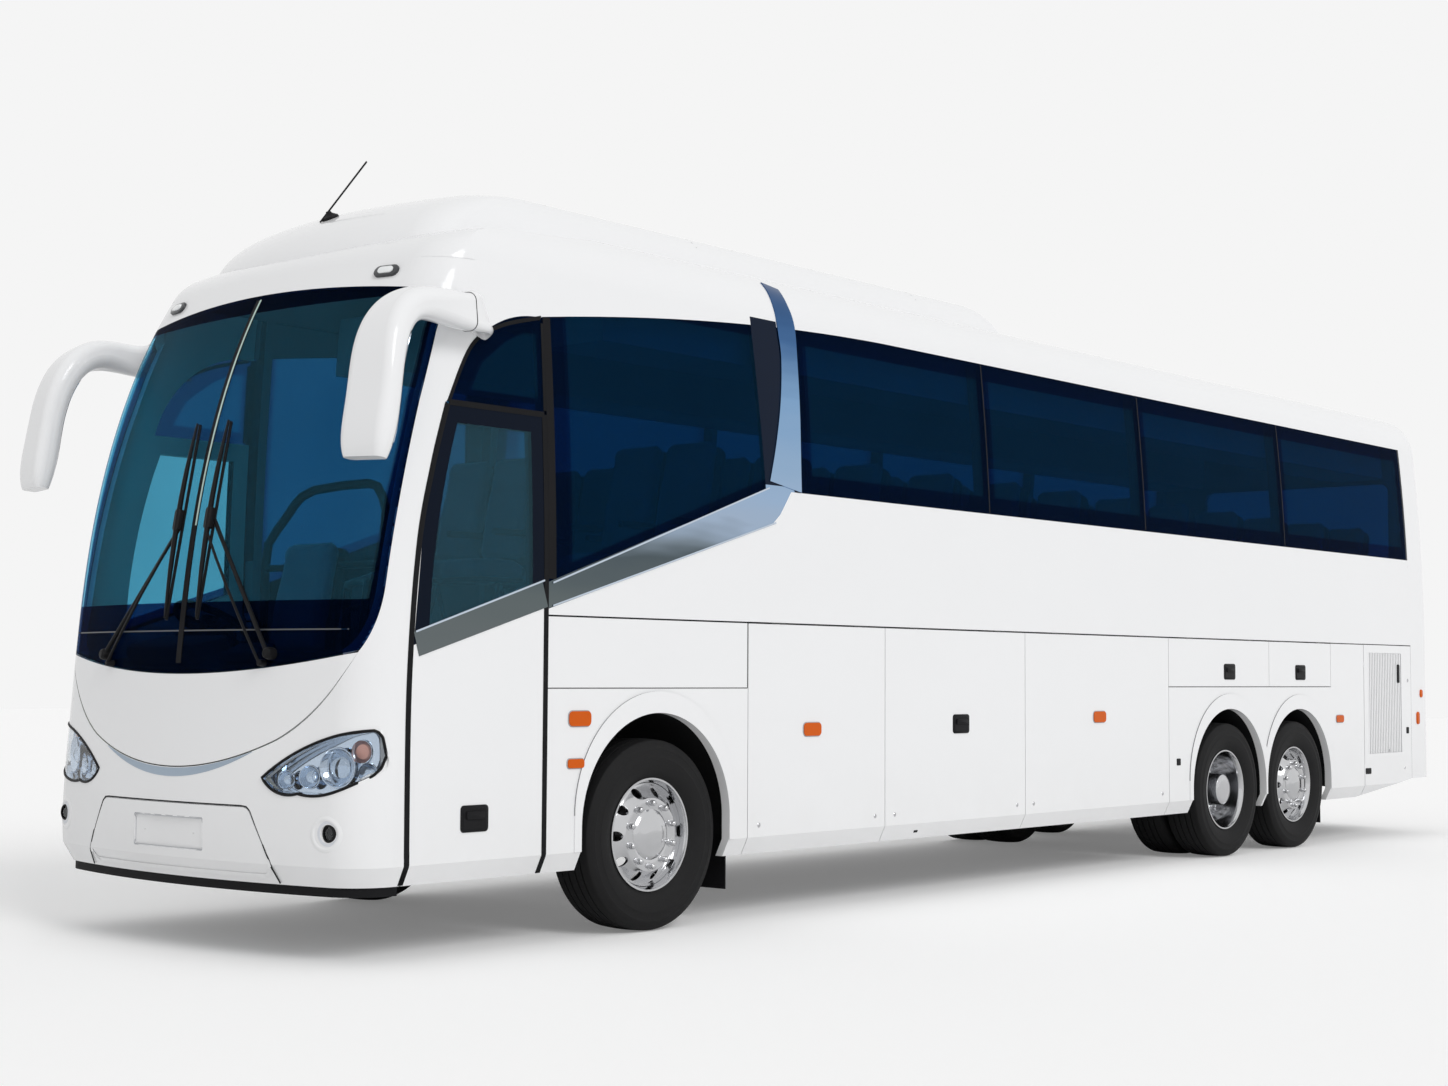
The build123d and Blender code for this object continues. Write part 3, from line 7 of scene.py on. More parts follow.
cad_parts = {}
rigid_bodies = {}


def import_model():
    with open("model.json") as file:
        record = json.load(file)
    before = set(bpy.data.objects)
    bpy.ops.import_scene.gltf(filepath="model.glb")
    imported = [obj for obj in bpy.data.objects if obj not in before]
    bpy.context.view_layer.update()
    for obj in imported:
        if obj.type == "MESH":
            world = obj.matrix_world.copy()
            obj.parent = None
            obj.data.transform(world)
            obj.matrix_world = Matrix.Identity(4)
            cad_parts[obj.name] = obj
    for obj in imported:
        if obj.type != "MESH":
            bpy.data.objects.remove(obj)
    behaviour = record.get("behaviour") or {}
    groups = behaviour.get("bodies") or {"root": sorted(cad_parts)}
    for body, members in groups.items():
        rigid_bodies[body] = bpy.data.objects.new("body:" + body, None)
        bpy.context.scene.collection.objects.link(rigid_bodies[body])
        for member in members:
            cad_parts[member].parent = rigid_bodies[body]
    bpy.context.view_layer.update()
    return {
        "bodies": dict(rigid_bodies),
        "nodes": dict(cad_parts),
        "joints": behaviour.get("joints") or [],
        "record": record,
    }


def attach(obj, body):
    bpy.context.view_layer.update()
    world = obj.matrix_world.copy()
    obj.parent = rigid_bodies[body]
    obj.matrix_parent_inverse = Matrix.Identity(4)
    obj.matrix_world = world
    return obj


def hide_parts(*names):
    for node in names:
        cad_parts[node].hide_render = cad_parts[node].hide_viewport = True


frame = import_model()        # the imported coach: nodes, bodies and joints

nodes = frame["nodes"]
print("frame loaded:", len(nodes), "nodes")

# Places are given as stations, in metres back from the front of the bumper; +X is the coach's left.
body = {"origin": 6.25225, "half": 1.275, "belt": 1.65, "hub": 0.508}


def at(station):
    return station - body["origin"]


# camera
camera = {
    "place": (8.8733, at(-6.17), 1.3541), "yaw": 40.566, "pitch": 3.577, "roll": 0.338,
    "focal": 2118.39, "pixels": 1448, "sensor": 36, "clip": (0.1, 200),
}
yaw, pitch, roll = (radians(camera[key]) for key in ("yaw", "pitch", "roll"))
ahead = Vector((-sin(yaw) * cos(pitch), cos(yaw) * cos(pitch), sin(pitch)))
level = ahead.cross(Vector((0, 0, 1))).normalized()
upright = level.cross(ahead)
sideAxis = cos(roll) * level + sin(roll) * upright
topAxis = -sin(roll) * level + cos(roll) * upright
lens = bpy.data.cameras.new("viewCamera")
lens.sensor_width = camera["sensor"]
lens.lens = camera["sensor"] * camera["focal"] / camera["pixels"]
lens.clip_start, lens.clip_end = camera["clip"]
viewCamera = bpy.data.objects.new("viewCamera", lens)
viewCamera.matrix_world = (
    Matrix.Translation(camera["place"]) @ Matrix((sideAxis, topAxis, -ahead)).transposed().to_4x4()
)
bpy.context.scene.collection.objects.link(viewCamera)
bpy.context.scene.camera = viewCamera


# shader groups, each built once
def newGroup(name, inputs, outputs):
    group = bpy.data.node_groups.new(name, "ShaderNodeTree")
    for label, kind, value in inputs:
        socket = group.interface.new_socket(name=label, in_out="INPUT", socket_type=kind)
        if value is not None:
            socket.default_value = value
    for label, kind in outputs:
        group.interface.new_socket(name=label, in_out="OUTPUT", socket_type=kind)
    return group, group.nodes.new("NodeGroupInput"), group.nodes.new("NodeGroupOutput")


def feed(tree, value, socket):      # links a socket, or sets a constant: a colour is three numbers
    if isinstance(value, bpy.types.NodeSocket):
        tree.links.new(value, socket)
    else:
        socket.default_value = (*value, 1) if socket.type == "RGBA" else value


def addNode(tree, kind, links=None, **settings):
    node = tree.nodes.new(kind)
    for key, value in settings.items():
        setattr(node, key, value)
    for key, value in (links or {}).items():
        feed(tree, value, node.inputs[key])
    return node


def maths(tree, operation, first, second=0.0, third=0.0):
    return addNode(tree, "ShaderNodeMath", {0: first, 1: second, 2: third}, operation=operation).outputs[0]


def above(tree, value, limit):
    return maths(tree, "GREATER_THAN", value, limit)


def below(tree, value, limit):
    return maths(tree, "LESS_THAN", value, limit)


def allOf(tree, *masks):
    return reduce(lambda first, second: maths(tree, "MULTIPLY", first, second), masks)


def anyOf(tree, *masks):
    return reduce(lambda first, second: maths(tree, "MAXIMUM", first, second), masks)


def sloped(tree, value, line):      # line is a slope and a level
    return maths(tree, "MULTIPLY_ADD", value, *line)


def lineThrough(first, second):     # slope and level
    slope = (second[1] - first[1]) / (second[0] - first[0])
    return slope, first[1] - slope * first[0]


def axesOf(tree, vector):
    return addNode(tree, "ShaderNodeSeparateXYZ", {"Vector": vector}).outputs


def spread(tree, value, low=0.0, high=1.0, start=0.0, end=1.0):
    span = {"Value": value, "From Min": start, "From Max": end, "To Min": low, "To Max": high}
    return addNode(tree, "ShaderNodeMapRange", span).outputs["Result"]


def makeRoadFilm():     # dust that thickens towards the ground and breaks up in patches
    group, given, result = newGroup("roadFilm", [
        ("Vector", "NodeSocketVector", None), ("Full Below", "NodeSocketFloat", 0.3),
        ("Gone Above", "NodeSocketFloat", 1.4), ("Amount", "NodeSocketFloat", 0.4), ("Scale", "NodeSocketFloat", 3.0),
    ], [("Mask", "NodeSocketFloat")])
    height = axesOf(group, given.outputs["Vector"])["Z"]
    fade = spread(group, height, 1.0, 0.0, given.outputs["Full Below"], given.outputs["Gone Above"])
    cloud = addNode(group, "ShaderNodeTexNoise", {
        "Vector": given.outputs["Vector"], "Scale": given.outputs["Scale"], "Detail": 6.0, "Roughness": 0.62,
    }).outputs["Fac"]
    patchy = spread(group, cloud, 0.25, 1.0, 0.3, 0.7)
    group.links.new(allOf(group, fade, patchy, given.outputs["Amount"]), result.inputs["Mask"])
    return group


def makeFineRipple():   # slight unevenness of sprayed or moulded surfaces
    group, given, result = newGroup(
        "fineRipple", [("Vector", "NodeSocketVector", None), ("Scale", "NodeSocketFloat", 60.0)],
        [("Height", "NodeSocketFloat"), ("Mottle", "NodeSocketFloat")],
    )
    for scale, detail, label in ((given.outputs["Scale"], 3.0, "Height"), (1.7, 4.0, "Mottle")):
        settings = {"Vector": given.outputs["Vector"], "Scale": scale, "Detail": detail}
        group.links.new(addNode(group, "ShaderNodeTexNoise", settings).outputs["Fac"], result.inputs[label])
    return group


def makeClothWeave():   # crossed threads with a soft fleck
    group, given, result = newGroup(
        "clothWeave", [("Vector", "NodeSocketVector", None), ("Threads", "NodeSocketFloat", 420.0)],
        [("Height", "NodeSocketFloat"), ("Fleck", "NodeSocketFloat")],
    )
    threads = {"Vector": given.outputs["Vector"], "Scale": given.outputs["Threads"]}
    warp, weft = (addNode(group, "ShaderNodeTexWave", threads, bands_direction=way).outputs["Fac"] for way in "XZ")
    fleck = addNode(group, "ShaderNodeTexVoronoi", {"Vector": given.outputs["Vector"], "Scale": 90.0})
    group.links.new(anyOf(group, warp, weft), result.inputs["Height"])
    group.links.new(fleck.outputs["Distance"], result.inputs["Fleck"])
    return group


roadFilm, fineRipple, clothWeave = makeRoadFilm(), makeFineRipple(), makeClothWeave()


# materials
def newMaterial(name, **sockets):
    material = bpy.data.materials.new(name)
    material.use_nodes = True
    shader = material.node_tree.nodes["Principled BSDF"]
    for label, value in sockets.items():
        shader.inputs[label].default_value = value
    place = addNode(material.node_tree, "ShaderNodeTexCoord").outputs["Object"]
    return material, material.node_tree, shader, place


def placeGroup(tree, group, **values):
    links = {label.replace("_", " "): value for label, value in values.items()}
    return addNode(tree, "ShaderNodeGroup", links, node_tree=group)


def finishShader(tree, shader, tone, height, strength, distance):     # colour and bump
    bump = addNode(tree, "ShaderNodeBump", {"Height": height, "Strength": strength, "Distance": distance})
    tree.links.new(bump.outputs["Normal"], shader.inputs["Normal"])
    tree.links.new(tone, shader.inputs["Base Color"])


def mixColour(tree, factor, first, second):
    return addNode(tree, "ShaderNodeMix", {0: factor, 6: first, 7: second}, data_type="RGBA").outputs[2]


def shade(colour, share):
    return tuple(part * share for part in colour)


def rippled(name, colour, second, rough, strength, scale, depth, **sockets):    # rough is a range
    material, tree, shader, place = newMaterial(name, **sockets)
    ripple = placeGroup(tree, fineRipple, Vector=place, Scale=scale)
    tree.links.new(spread(tree, ripple.outputs["Height"], *rough), shader.inputs["Roughness"])
    tone = mixColour(tree, ripple.outputs["Mottle"], colour, second)
    finishShader(tree, shader, tone, ripple.outputs["Height"], strength, depth)
    return material


def moulded(name, colour, rough, scale=260.0, depth=0.0006, strength=0.35, **sockets):
    paler = tuple(min(1, part * 1.35 + 0.004) for part in colour)
    return rippled(name, colour, paler, (rough * 0.85, min(1, rough * 1.15)), strength, scale, depth, **sockets)


def metal(name, colour, rough, scale, depth=0.0004):
    return rippled(name, colour, shade(colour, 0.8), (rough * 0.6, rough * 1.4), 0.12, scale, depth, Metallic=1.0)


edgeNavy = (0.010, 0.042, 0.14)     # baked edges of the panes


def tintedGlass(name, clear, border=None, panes=None, through=0.90):
    sockets = {"Transmission Weight": through, "Roughness": 0.0, "Specular IOR Level": 0.04, "IOR": 1.03}
    material, tree, shader, place = newMaterial(name, **sockets)
    ripple = placeGroup(tree, fineRipple, Vector=place, Scale=1.6)
    tone = mixColour(tree, ripple.outputs["Mottle"], clear, shade(clear, 0.85))
    x, y, z = axesOf(tree, place)
    if border:      # baked edge: heights of its bottom and top, and the side edge as height and station
        side = [(level, at(station)) for level, station in border["side"]]
        edges = [sloped(tree, z, lineThrough(*ends)) for ends in zip(side, side[1:])]
        baked = anyOf(tree, above(tree, y, anyOf(tree, *edges)), below(tree, z, border["bottom"]),
                      above(tree, z, border["top"]))
        tone = mixColour(tree, baked, tone, edgeNavy)
    if panes:       # clear fields inside the baked edges of the side windows
        fields = [allOf(tree, above(tree, y, at(start)), below(tree, y, at(end))) for start, end in panes["stations"]]
        foot = maths(tree, "MINIMUM", sloped(tree, y, panes["bandLine"]), panes["foot"])
        large = allOf(tree, anyOf(tree, *fields), above(tree, z, foot), below(tree, z, panes["head"]))
        quarter = [(at(station), level) for station, level in panes["quarter"]]
        heads = [below(tree, z, sloped(tree, y, lineThrough(*ends))) for ends in zip(quarter, quarter[1:])]
        small = allOf(tree, below(tree, y, quarter[-1][0]), above(tree, z, quarter[0][1]), *heads)
        cabField = allOf(tree, above(tree, z, sloped(tree, y, panes["cabLine"])), below(tree, z, panes["cabHead"]),
                         below(tree, y, at(panes["cabRear"])))
        tone = mixColour(tree, anyOf(tree, large, small), edgeNavy, tone)
        tone = mixColour(tree, cabField, tone, panes["cabColour"])
    finishShader(tree, shader, tone, ripple.outputs["Height"], 0.02, 0.01)
    return material


def allNodes(*starts):      # CAD node names by their first letters
    return [name for name in nodes if name.startswith(starts)]


def dress(material, names):
    for name in names:
        for holder in nodes[name].material_slots:
            holder.material = material


# seam is painted shade for the lids' shut gap, laid over the hinge barrels
paint = {
    "colour": (0.90, 0.905, 0.915), "film": (0.42, 0.40, 0.37), "lining": (0.24, 0.245, 0.255),
    "seam": (0.03, 0.03, 0.032), "behind": (0.012, 0.012, 0.014),
}
liningCut = {       # the coach's middle line, what counts as facing it, and the span of the window openings
    "spine": (-4.9, 5.6), "level": 1.9, "facing": -0.02, "across": 0.7, "foot": 1.7, "rear": 5.9,
    "bulge": 34.1, "inset": 0.015, "rise": 0.35,
}


def makeLiningMask():   # 1 on faces that look into the coach, and on the pillars' faces behind the panes
    group, given, result = newGroup(
        "liningMask", [("Vector", "NodeSocketVector", None), ("Normal", "NodeSocketVector", None)],
        [("Mask", "NodeSocketFloat"), ("Behind", "NodeSocketFloat")],
    )
    x, y, z = axesOf(group, given.outputs["Vector"])
    front, rear = liningCut["spine"]
    spine = addNode(group, "ShaderNodeClamp", {"Value": y, "Min": front, "Max": rear}).outputs[0]
    outward = addNode(group, "ShaderNodeCombineXYZ", {
        "X": x, "Y": maths(group, "SUBTRACT", y, spine), "Z": maths(group, "SUBTRACT", z, liningCut["level"]),
    }).outputs[0]
    facing = addNode(group, "ShaderNodeVectorMath", {0: outward, 1: given.outputs["Normal"]}, operation="DOT_PRODUCT")
    inner = below(group, facing.outputs["Value"], liningCut["facing"])
    along = maths(group, "ABSOLUTE", axesOf(group, given.outputs["Normal"])["Y"])
    reveal = allOf(group, above(group, along, liningCut["across"]), above(group, z, liningCut["foot"]),
                   below(group, maths(group, "ABSOLUTE", y), liningCut["rear"]), above(group, y, front))
    group.links.new(anyOf(group, inner, reveal), result.inputs["Mask"])
    rise = maths(group, "SUBTRACT", z, body["belt"])
    leaned = maths(group, "MULTIPLY_ADD", allOf(group, rise, rise), 1 / liningCut["bulge"], maths(group, "ABSOLUTE", x))
    behind = allOf(group, below(group, leaned, body["half"] - liningCut["inset"]),
                   above(group, rise, liningCut["rise"]), maths(group, "SUBTRACT", 1.0, inner))
    group.links.new(behind, result.inputs["Behind"])
    return group


liningMask = makeLiningMask()


def bodyPaint(name, lined=True, blackSide=None, lining=paint["lining"], gapShade=None):
    sockets = {"Coat Weight": 0.5, "Coat Roughness": 0.05, "Specular IOR Level": 0.08}
    material, tree, shader, place = newMaterial(name, **sockets)
    film = placeGroup(tree, roadFilm, Vector=place, Full_Below=0.34, Gone_Above=0.95, Amount=0.10, Scale=2.3)
    dust = film.outputs["Mask"]
    ripple = placeGroup(tree, fineRipple, Vector=place, Scale=34.0)
    mottle = spread(tree, ripple.outputs["Mottle"], 0.0, 0.5)
    tone = mixColour(tree, mottle, paint["colour"], shade(paint["colour"], 0.97))
    tone = mixColour(tree, dust, tone, paint["film"])
    x, y, z = axesOf(tree, place)
    if blackSide:   # the black fields round the door's and the driver's windows
        front = [(level, at(station)) for level, station in doorBlack["front"]]
        edges = [above(tree, y, sloped(tree, z, lineThrough(*ends))) for ends in zip(front, front[1:])]
        black = allOf(tree, above(tree, z, sloped(tree, y, doorBlack["bandLine"])), *edges,
                      below(tree, y, at(doorBlack["rear"])), above(tree, allOf(tree, x, blackSide), 0.0))
        tone = mixColour(tree, black, tone, doorBlack["colour"])
        tree.links.new(spread(tree, black, 0.5, 0.0), shader.inputs["Coat Weight"])
    if gapShade:      # painted shade of the shut gap between two heights, laid over the hinge barrels
        seam = allOf(tree, above(tree, z, gapShade[0]), below(tree, z, gapShade[1]))
        tone = mixColour(tree, seam, tone, paint["seam"])
    if lined:       # grey lining on the faces that look inwards
        facing = addNode(tree, "ShaderNodeTexCoord").outputs["Normal"]
        inner = placeGroup(tree, liningMask, Vector=place, Normal=facing)
        tone = mixColour(tree, inner.outputs["Mask"], tone, lining)
        if gapShade:
            tone = mixColour(tree, inner.outputs["Behind"], tone, paint["behind"])
    tree.links.new(spread(tree, dust, 0.2, 0.6), shader.inputs["Roughness"])
    finishShader(tree, shader, tone, ripple.outputs["Height"], 0.04, 0.002)
    return material


# The black fields start above the bright band and behind a curve: pairs of height and station.
doorBlack = {
    "colour": (0.0006, 0.004, 0.013), "bandLine": (0.318, 1.49 - 0.318 * at(0.47)), "rear": 1.36,
    "front": [(1.30, 0.446), (2.08, 0.519), (2.66, 0.69), (2.96, 0.85), (3.165, 1.34)],
}
whitePaint = bodyPaint("whitePaint", lined=False)
shellPaint = bodyPaint("shellPaint")
# the lids carry a painted shade line at the hinge gap
lidPaint = bodyPaint("lidPaint", gapShade=(1.6455, 1.6545))
doorPaint = bodyPaint("doorPaint", blackSide=1)
maskPaint = bodyPaint("maskPaint", blackSide=-1, lining=(0.55, 0.57, 0.53))
dull = {"Specular IOR Level": 0.1}
darkRubber = moulded("darkRubber", (0.006, 0.006, 0.007), 0.62, scale=180, **dull)
tyreRubber = moulded("tyreRubber", (0.006, 0.006, 0.0065), 0.72, scale=140, depth=0.001, **{"Specular IOR Level": 0.22})
polishedAlloy = metal("polishedAlloy", (0.66, 0.665, 0.68), 0.13, 60)
forgedSteel = metal("forgedSteel", (0.16, 0.16, 0.165), 0.55, 40)
blackPlastic = moulded("blackPlastic", (0.008, 0.008, 0.009), 0.42, **dull)
bayLining = moulded("bayLining", (0.10, 0.10, 0.105), 0.8, scale=90)
linerPlastic = moulded("linerPlastic", (0.010, 0.010, 0.011), 0.8, scale=70, depth=0.002, **dull)
cabPlastic = moulded("cabPlastic", (0.055, 0.06, 0.066), 0.55)
rackPlastic = moulded("rackPlastic", (0.32, 0.33, 0.34), 0.5)
amberLens = moulded("amberLens", (0.56, 0.090, 0.001), 0.2, 120, 0.002, 0.8, **{"Coat Weight": 0.1, **dull})
# the turn lamps' pale pink is the lens's own pale tone with its red reflections painted in
reflectedTurnLens = moulded("reflectedTurnLens", (0.60, 0.30, 0.24), 0.2, 120, **{"Coat Weight": 0.3})
redLens = moulded("redLens", (0.55, 0.012, 0.012), 0.16, 300, **{"Coat Weight": 0.6})
clearLens = moulded("clearLens", (0.72, 0.74, 0.76), 0.12, 300, **{"Coat Weight": 0.8})
tailRed = (0.50, 0.010, 0.010)
tailTones = [(0.98, tailRed), (1.165, (0.62, 0.63, 0.64)), (1.270, (0.85, 0.22, 0.012)), (1.372, tailRed)]


def tailLens():     # red, clear and amber fields one above the other, with fine flutes
    material, tree, shader, place = newMaterial("tailLens", **{"Roughness": 0.12, "Coat Weight": 0.6})
    height = axesOf(tree, place)["Z"]
    tone = tailRed
    for z, colour in tailTones:
        tone = mixColour(tree, above(tree, height, z), tone, colour)
        seam = below(tree, maths(tree, "ABSOLUTE", maths(tree, "SUBTRACT", height, z)), 0.004)
        tone = mixColour(tree, seam, tone, (0.02, 0.02, 0.02))
    flutes = addNode(tree, "ShaderNodeTexWave", {"Vector": place, "Scale": 60.0}, bands_direction="X")
    finishShader(tree, shader, tone, flutes.outputs["Fac"], 0.4, 0.002)
    return material


screenBorder = {
    "bottom": 1.70, "top": 3.20,
    "side": [(1.76, 0.27), (2.20, 0.35), (2.66, 0.472), (3.01, 0.59), (3.30, 0.71)],
}
sidePanes = {
    "stations": [(1.52, 3.10), (3.52, 5.31), (5.45, 7.34), (7.48, 9.58), (9.72, 11.95)],
    "bandLine": (0.347, 1.876 - 0.347 * at(1.381)), "foot": 2.52, "head": 3.29,
    "quarter": [(0.84, 2.744), (0.916, 2.884), (1.086, 3.010), (1.214, 3.072), (1.297, 3.075)],
    "cabLine": (0.318, 1.60 - 0.318 * at(0.47)), "cabHead": 2.59, "cabRear": 1.27, "cabColour": (0.36, 0.66, 0.74),
}
# A low index of refraction keeps the pale studio from washing out the tint.
screenGlass = tintedGlass("screenGlass", (0.20, 0.56, 0.74), border=screenBorder, through=0.96)
sideGlass = tintedGlass("sideGlass", (0.018, 0.12, 0.26), panes=sidePanes)
doorGlass = tintedGlass("doorGlass", (0.18, 0.42, 0.54))
rearGlass = tintedGlass("rearGlass", (0.018, 0.12, 0.26))

# height and colour of the painted sky and ground reflection: the trim is painted grey near the door, pale at the knee
# and dark blue at its head
reflectionTones = [
    (1.45, (0.14, 0.16, 0.165)), (1.75, (0.12, 0.145, 0.15)), (1.98, (0.085, 0.11, 0.125)), (2.07, (0.20, 0.25, 0.30)),
    (2.19, (0.36, 0.46, 0.60)), (2.40, (0.33, 0.46, 0.64)), (2.52, (0.30, 0.44, 0.62)), (2.95, (0.22, 0.38, 0.60)),
    (3.30, (0.06, 0.15, 0.33)), (3.62, (0.015, 0.06, 0.17)),
]


# painted reflection: the metal's colour follows height and slanted streaks, standing in for the sky and ground it would
# mirror
def skyChrome(name, top=None):      # tone drifts with height; black above top, where the cover stands for it
    material, tree, shader, place = newMaterial(name, **{"Metallic": 1.0, "Roughness": 0.1, "Specular IOR Level": 0.1})
    low, high = reflectionTones[0][0], reflectionTones[-1][0]
    z = axesOf(tree, place)["Z"]
    reflectionStreaks = addNode(tree, "ShaderNodeMapping", {"Vector": place, "Rotation": (0.3, 0, 0), "Scale": (1.0, 0.8, 5.0)})
    noise = addNode(tree, "ShaderNodeTexNoise", {"Vector": reflectionStreaks.outputs[0], "Scale": 1.4, "Detail": 2.0})
    height = maths(tree, "MULTIPLY_ADD", noise.outputs["Fac"], 0.30, z)
    share = maths(tree, "MULTIPLY_ADD", height, 1 / (high - low), (-0.15 - low) / (high - low))
    ramp = addNode(tree, "ShaderNodeValToRGB", {"Fac": share})
    ends = ramp.color_ramp.elements
    ends[0].color, ends[1].color = (*reflectionTones[0][1], 1), (*reflectionTones[-1][1], 1)
    for level, colour in reflectionTones[1:-1]:
        ends.new((level - low) / (high - low)).color = (*colour, 1)
    ripple = placeGroup(tree, fineRipple, Vector=place, Scale=5.0)
    tone = ramp.outputs["Color"]
    if top:
        over = above(tree, z, top)
        tone = mixColour(tree, over, tone, (0.0002, 0.006, 0.022))
        tree.links.new(maths(tree, "SUBTRACT", 1.0, over), shader.inputs["Metallic"])
    finishShader(tree, shader, tone, ripple.outputs["Height"], 0.08, 0.002)
    return material


# both chromes, on the bands, the pillar and its cover, carry this painted reflection
brightChrome = skyChrome("skyChrome")
trimChrome = skyChrome("trimChrome", top=2.438)


def seatCloth():
    material, tree, shader, place = newMaterial("seatCloth", **{"Sheen Weight": 0.35, "Sheen Roughness": 0.5})
    weave = placeGroup(tree, clothWeave, Vector=place, Threads=190.0)
    fleck = weave.outputs["Fleck"]
    tone = mixColour(tree, spread(tree, fleck), (0.045, 0.075, 0.13), (0.11, 0.15, 0.22))
    tree.links.new(spread(tree, fleck, 0.8, 0.95), shader.inputs["Roughness"])
    finishShader(tree, shader, tone, weave.outputs["Height"], 0.4, 0.001)
    return material


seatFabric = seatCloth()
for material, names in (
    (shellPaint, ["roof", "rear_wall", "rear_hatch", *allNodes("engine_door")]),
    (lidPaint, ["wall_left", "wall_right", *allNodes("bay_door", "flap_")]),
    (whitePaint, ["front_panel", "bumper", "roof_pod", "mirrors"]), (maskPaint, ["front_mask"]),
    (doorPaint, ["entry_door"]), (screenGlass, ["windscreen"]), (sideGlass, ["window_glass"]),
    (doorGlass, ["entry_door_glass"]), (rearGlass, ["rear_window"]), (trimChrome, ["bright_trim"]),
    (tyreRubber, allNodes("tyre_")), (polishedAlloy, allNodes("wheel_")),
    (forgedSteel, ["chassis", "axles", "entry_door_arm", "engine", *allNodes("knuckle_")]),
    (bayLining, ["luggage_bay", "deck"]), (linerPlastic, ["arch_liners"]), (darkRubber, ["rubber_flaps"]),
    (blackPlastic, ["wipers", "aerial"]), (cabPlastic, ["dashboard"]), (rackPlastic, ["overhead_racks"]),
    (seatFabric, ["seats"]), (amberLens, ["markers"]), (tailLens(), ["tail_lamps"]), (clearLens, ["headlights"]),
):
    dress(material, names)
print("materials ready")


# helpers that shape and finish pieces
# where casts start, how far out a side lies at least, and how far aside a cast is tried again
outside = {"side": 3, "front": -3, "rear": 16, "top": 6, "wall": 1.0, "nearby": (0.009, 0.02)}


def treeOf(*names):     # surface of CAD nodes, for setting pieces on it
    points, faces = [], []
    for name in names:
        mesh = nodes[name].data
        first = len(points)
        points += [vertex.co.copy() for vertex in mesh.vertices]
        faces += [[first + index for index in polygon.vertices] for polygon in mesh.polygons]
    return BVHTree.FromPolygons(points, faces)


def cast(tree, start, direction):
    place, normal, index, distance = tree.ray_cast(Vector(start), Vector(direction))
    if place is None:
        return None, None
    return place, normal if normal.dot(Vector(direction)) < 0 else -normal


def onSide(tree, station, z, side=1):
    return cast(tree, (outside["side"] * side, at(station), z), (-side, 0, 0))


def onFront(tree, x, z):
    return cast(tree, (x, at(outside["front"]), z), (0, 1, 0))


def onRear(tree, x, z):
    return cast(tree, (x, at(outside["rear"]), z), (0, -1, 0))


def onTop(tree, x, station):
    return cast(tree, (x, at(station), outside["top"]), (0, 0, -1))


bothSides = (("left", 1), ("right", -1))
slots = {
    blackPlastic: "dash_plastic", darkRubber: "rubber", whitePaint: "white_paint", brightChrome: "chrome",
    clearLens: "lens", amberLens: "amber_lens", redLens: "red_lens", seatFabric: "seat_fabric",
    polishedAlloy: "alloy", tyreRubber: "tyre", cabPlastic: "dash_plastic",
}


def finishPiece(name, bm, material, slot=None, bodyName="body", sharp=34):
    mesh = bpy.data.meshes.new(name)
    bm.to_mesh(mesh)
    bm.free()
    for polygon in mesh.polygons:
        polygon.use_smooth = True
    mesh.set_sharp_from_angle(angle=radians(sharp))
    mesh.materials.append(material)
    piece = bpy.data.objects.new(name, mesh)
    bpy.context.scene.collection.objects.link(piece)
    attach(piece, bodyName)
    slot or slots[material]
    return piece


def faceAxes(normal, upward=(0, 0, 1)):      # turns +Z to the normal and +Y to what is up on the surface
    normal = Vector(normal).normalized()
    across = Vector(upward).cross(normal).normalized()
    return Matrix((across, normal.cross(across), normal)).transposed()


def unique(items):      # in the order they came, so that each run builds alike
    return list(dict.fromkeys(items))


def bevelled(bm, edges, verts, offset, steps):      # the plate's corners after a bevel
    geom = unique(edges)
    cut = bmesh.ops.bevel(bm, geom=geom, offset=offset, segments=steps, profile=0.5, affect="EDGES", material=-1)
    return unique([*cut["verts"], *(v for v in verts if v.is_valid)])


def addPlate(bm, size, matrix, corner=0.0, edge=0.0):     # rounded plate: width, height, thickness
    thick = size[2]
    verts = bmesh.ops.create_cube(bm, size=1.0)["verts"]
    bmesh.ops.scale(bm, vec=size, verts=verts)
    if corner:
        upright = [e for v in verts for e in v.link_edges if abs(e.verts[0].co.z - e.verts[1].co.z) > thick / 2]
        verts = bevelled(bm, upright, verts, corner, 4)
    if edge:
        top = [e for v in verts for e in v.link_edges
               if min(end.co.z for end in e.verts) > thick * 0.49 and len(e.link_faces) == 2
               and min(f.normal.z if f.normal.length else 1 for f in e.link_faces) < 0.9]
        bm.normal_update()
        verts = bevelled(bm, top, verts, edge, 2)
    bmesh.ops.transform(bm, matrix=matrix, verts=verts)


def plateOn(bm, place, normal, size, corner=0.0, edge=0.0, proud=0.0, upward=(0, 0, 1)):
    turn = faceAxes(normal, upward).to_4x4()
    centre = Vector(place) + Vector(normal).normalized() * (proud - size[2] / 2)
    addPlate(bm, size, Matrix.Translation(centre) @ turn, corner, edge)


def turnTo(axis):
    return Vector((0, 0, 1)).rotation_difference(Vector(axis)).to_matrix().to_4x4()


def addTurned(bm, profile, centre, axis, steps=48, closed=False):    # a profile of (along, radius) about an axis
    before = set(bm.verts)
    profile = [*profile, profile[0]] if closed else profile
    chain = [bmesh.ops.create_vert(bm, co=(radius, 0, along))["vert"][0] for along, radius in profile]
    edges = [bm.edges.new(ends) for ends in zip(chain, chain[1:])]
    bmesh.ops.spin(bm, geom=chain + edges, cent=(0, 0, 0), axis=(0, 0, 1), angle=2 * pi, steps=steps, use_merge=True)
    bmesh.ops.remove_doubles(bm, verts=[v for v in bm.verts if v not in before], dist=0.00002)
    made = [v for v in bm.verts if v not in before]
    faces = unique(f for v in made for f in v.link_faces)
    bmesh.ops.recalc_face_normals(bm, faces=faces)
    bmesh.ops.transform(bm, matrix=Matrix.Translation(centre) @ turnTo(axis), verts=made)


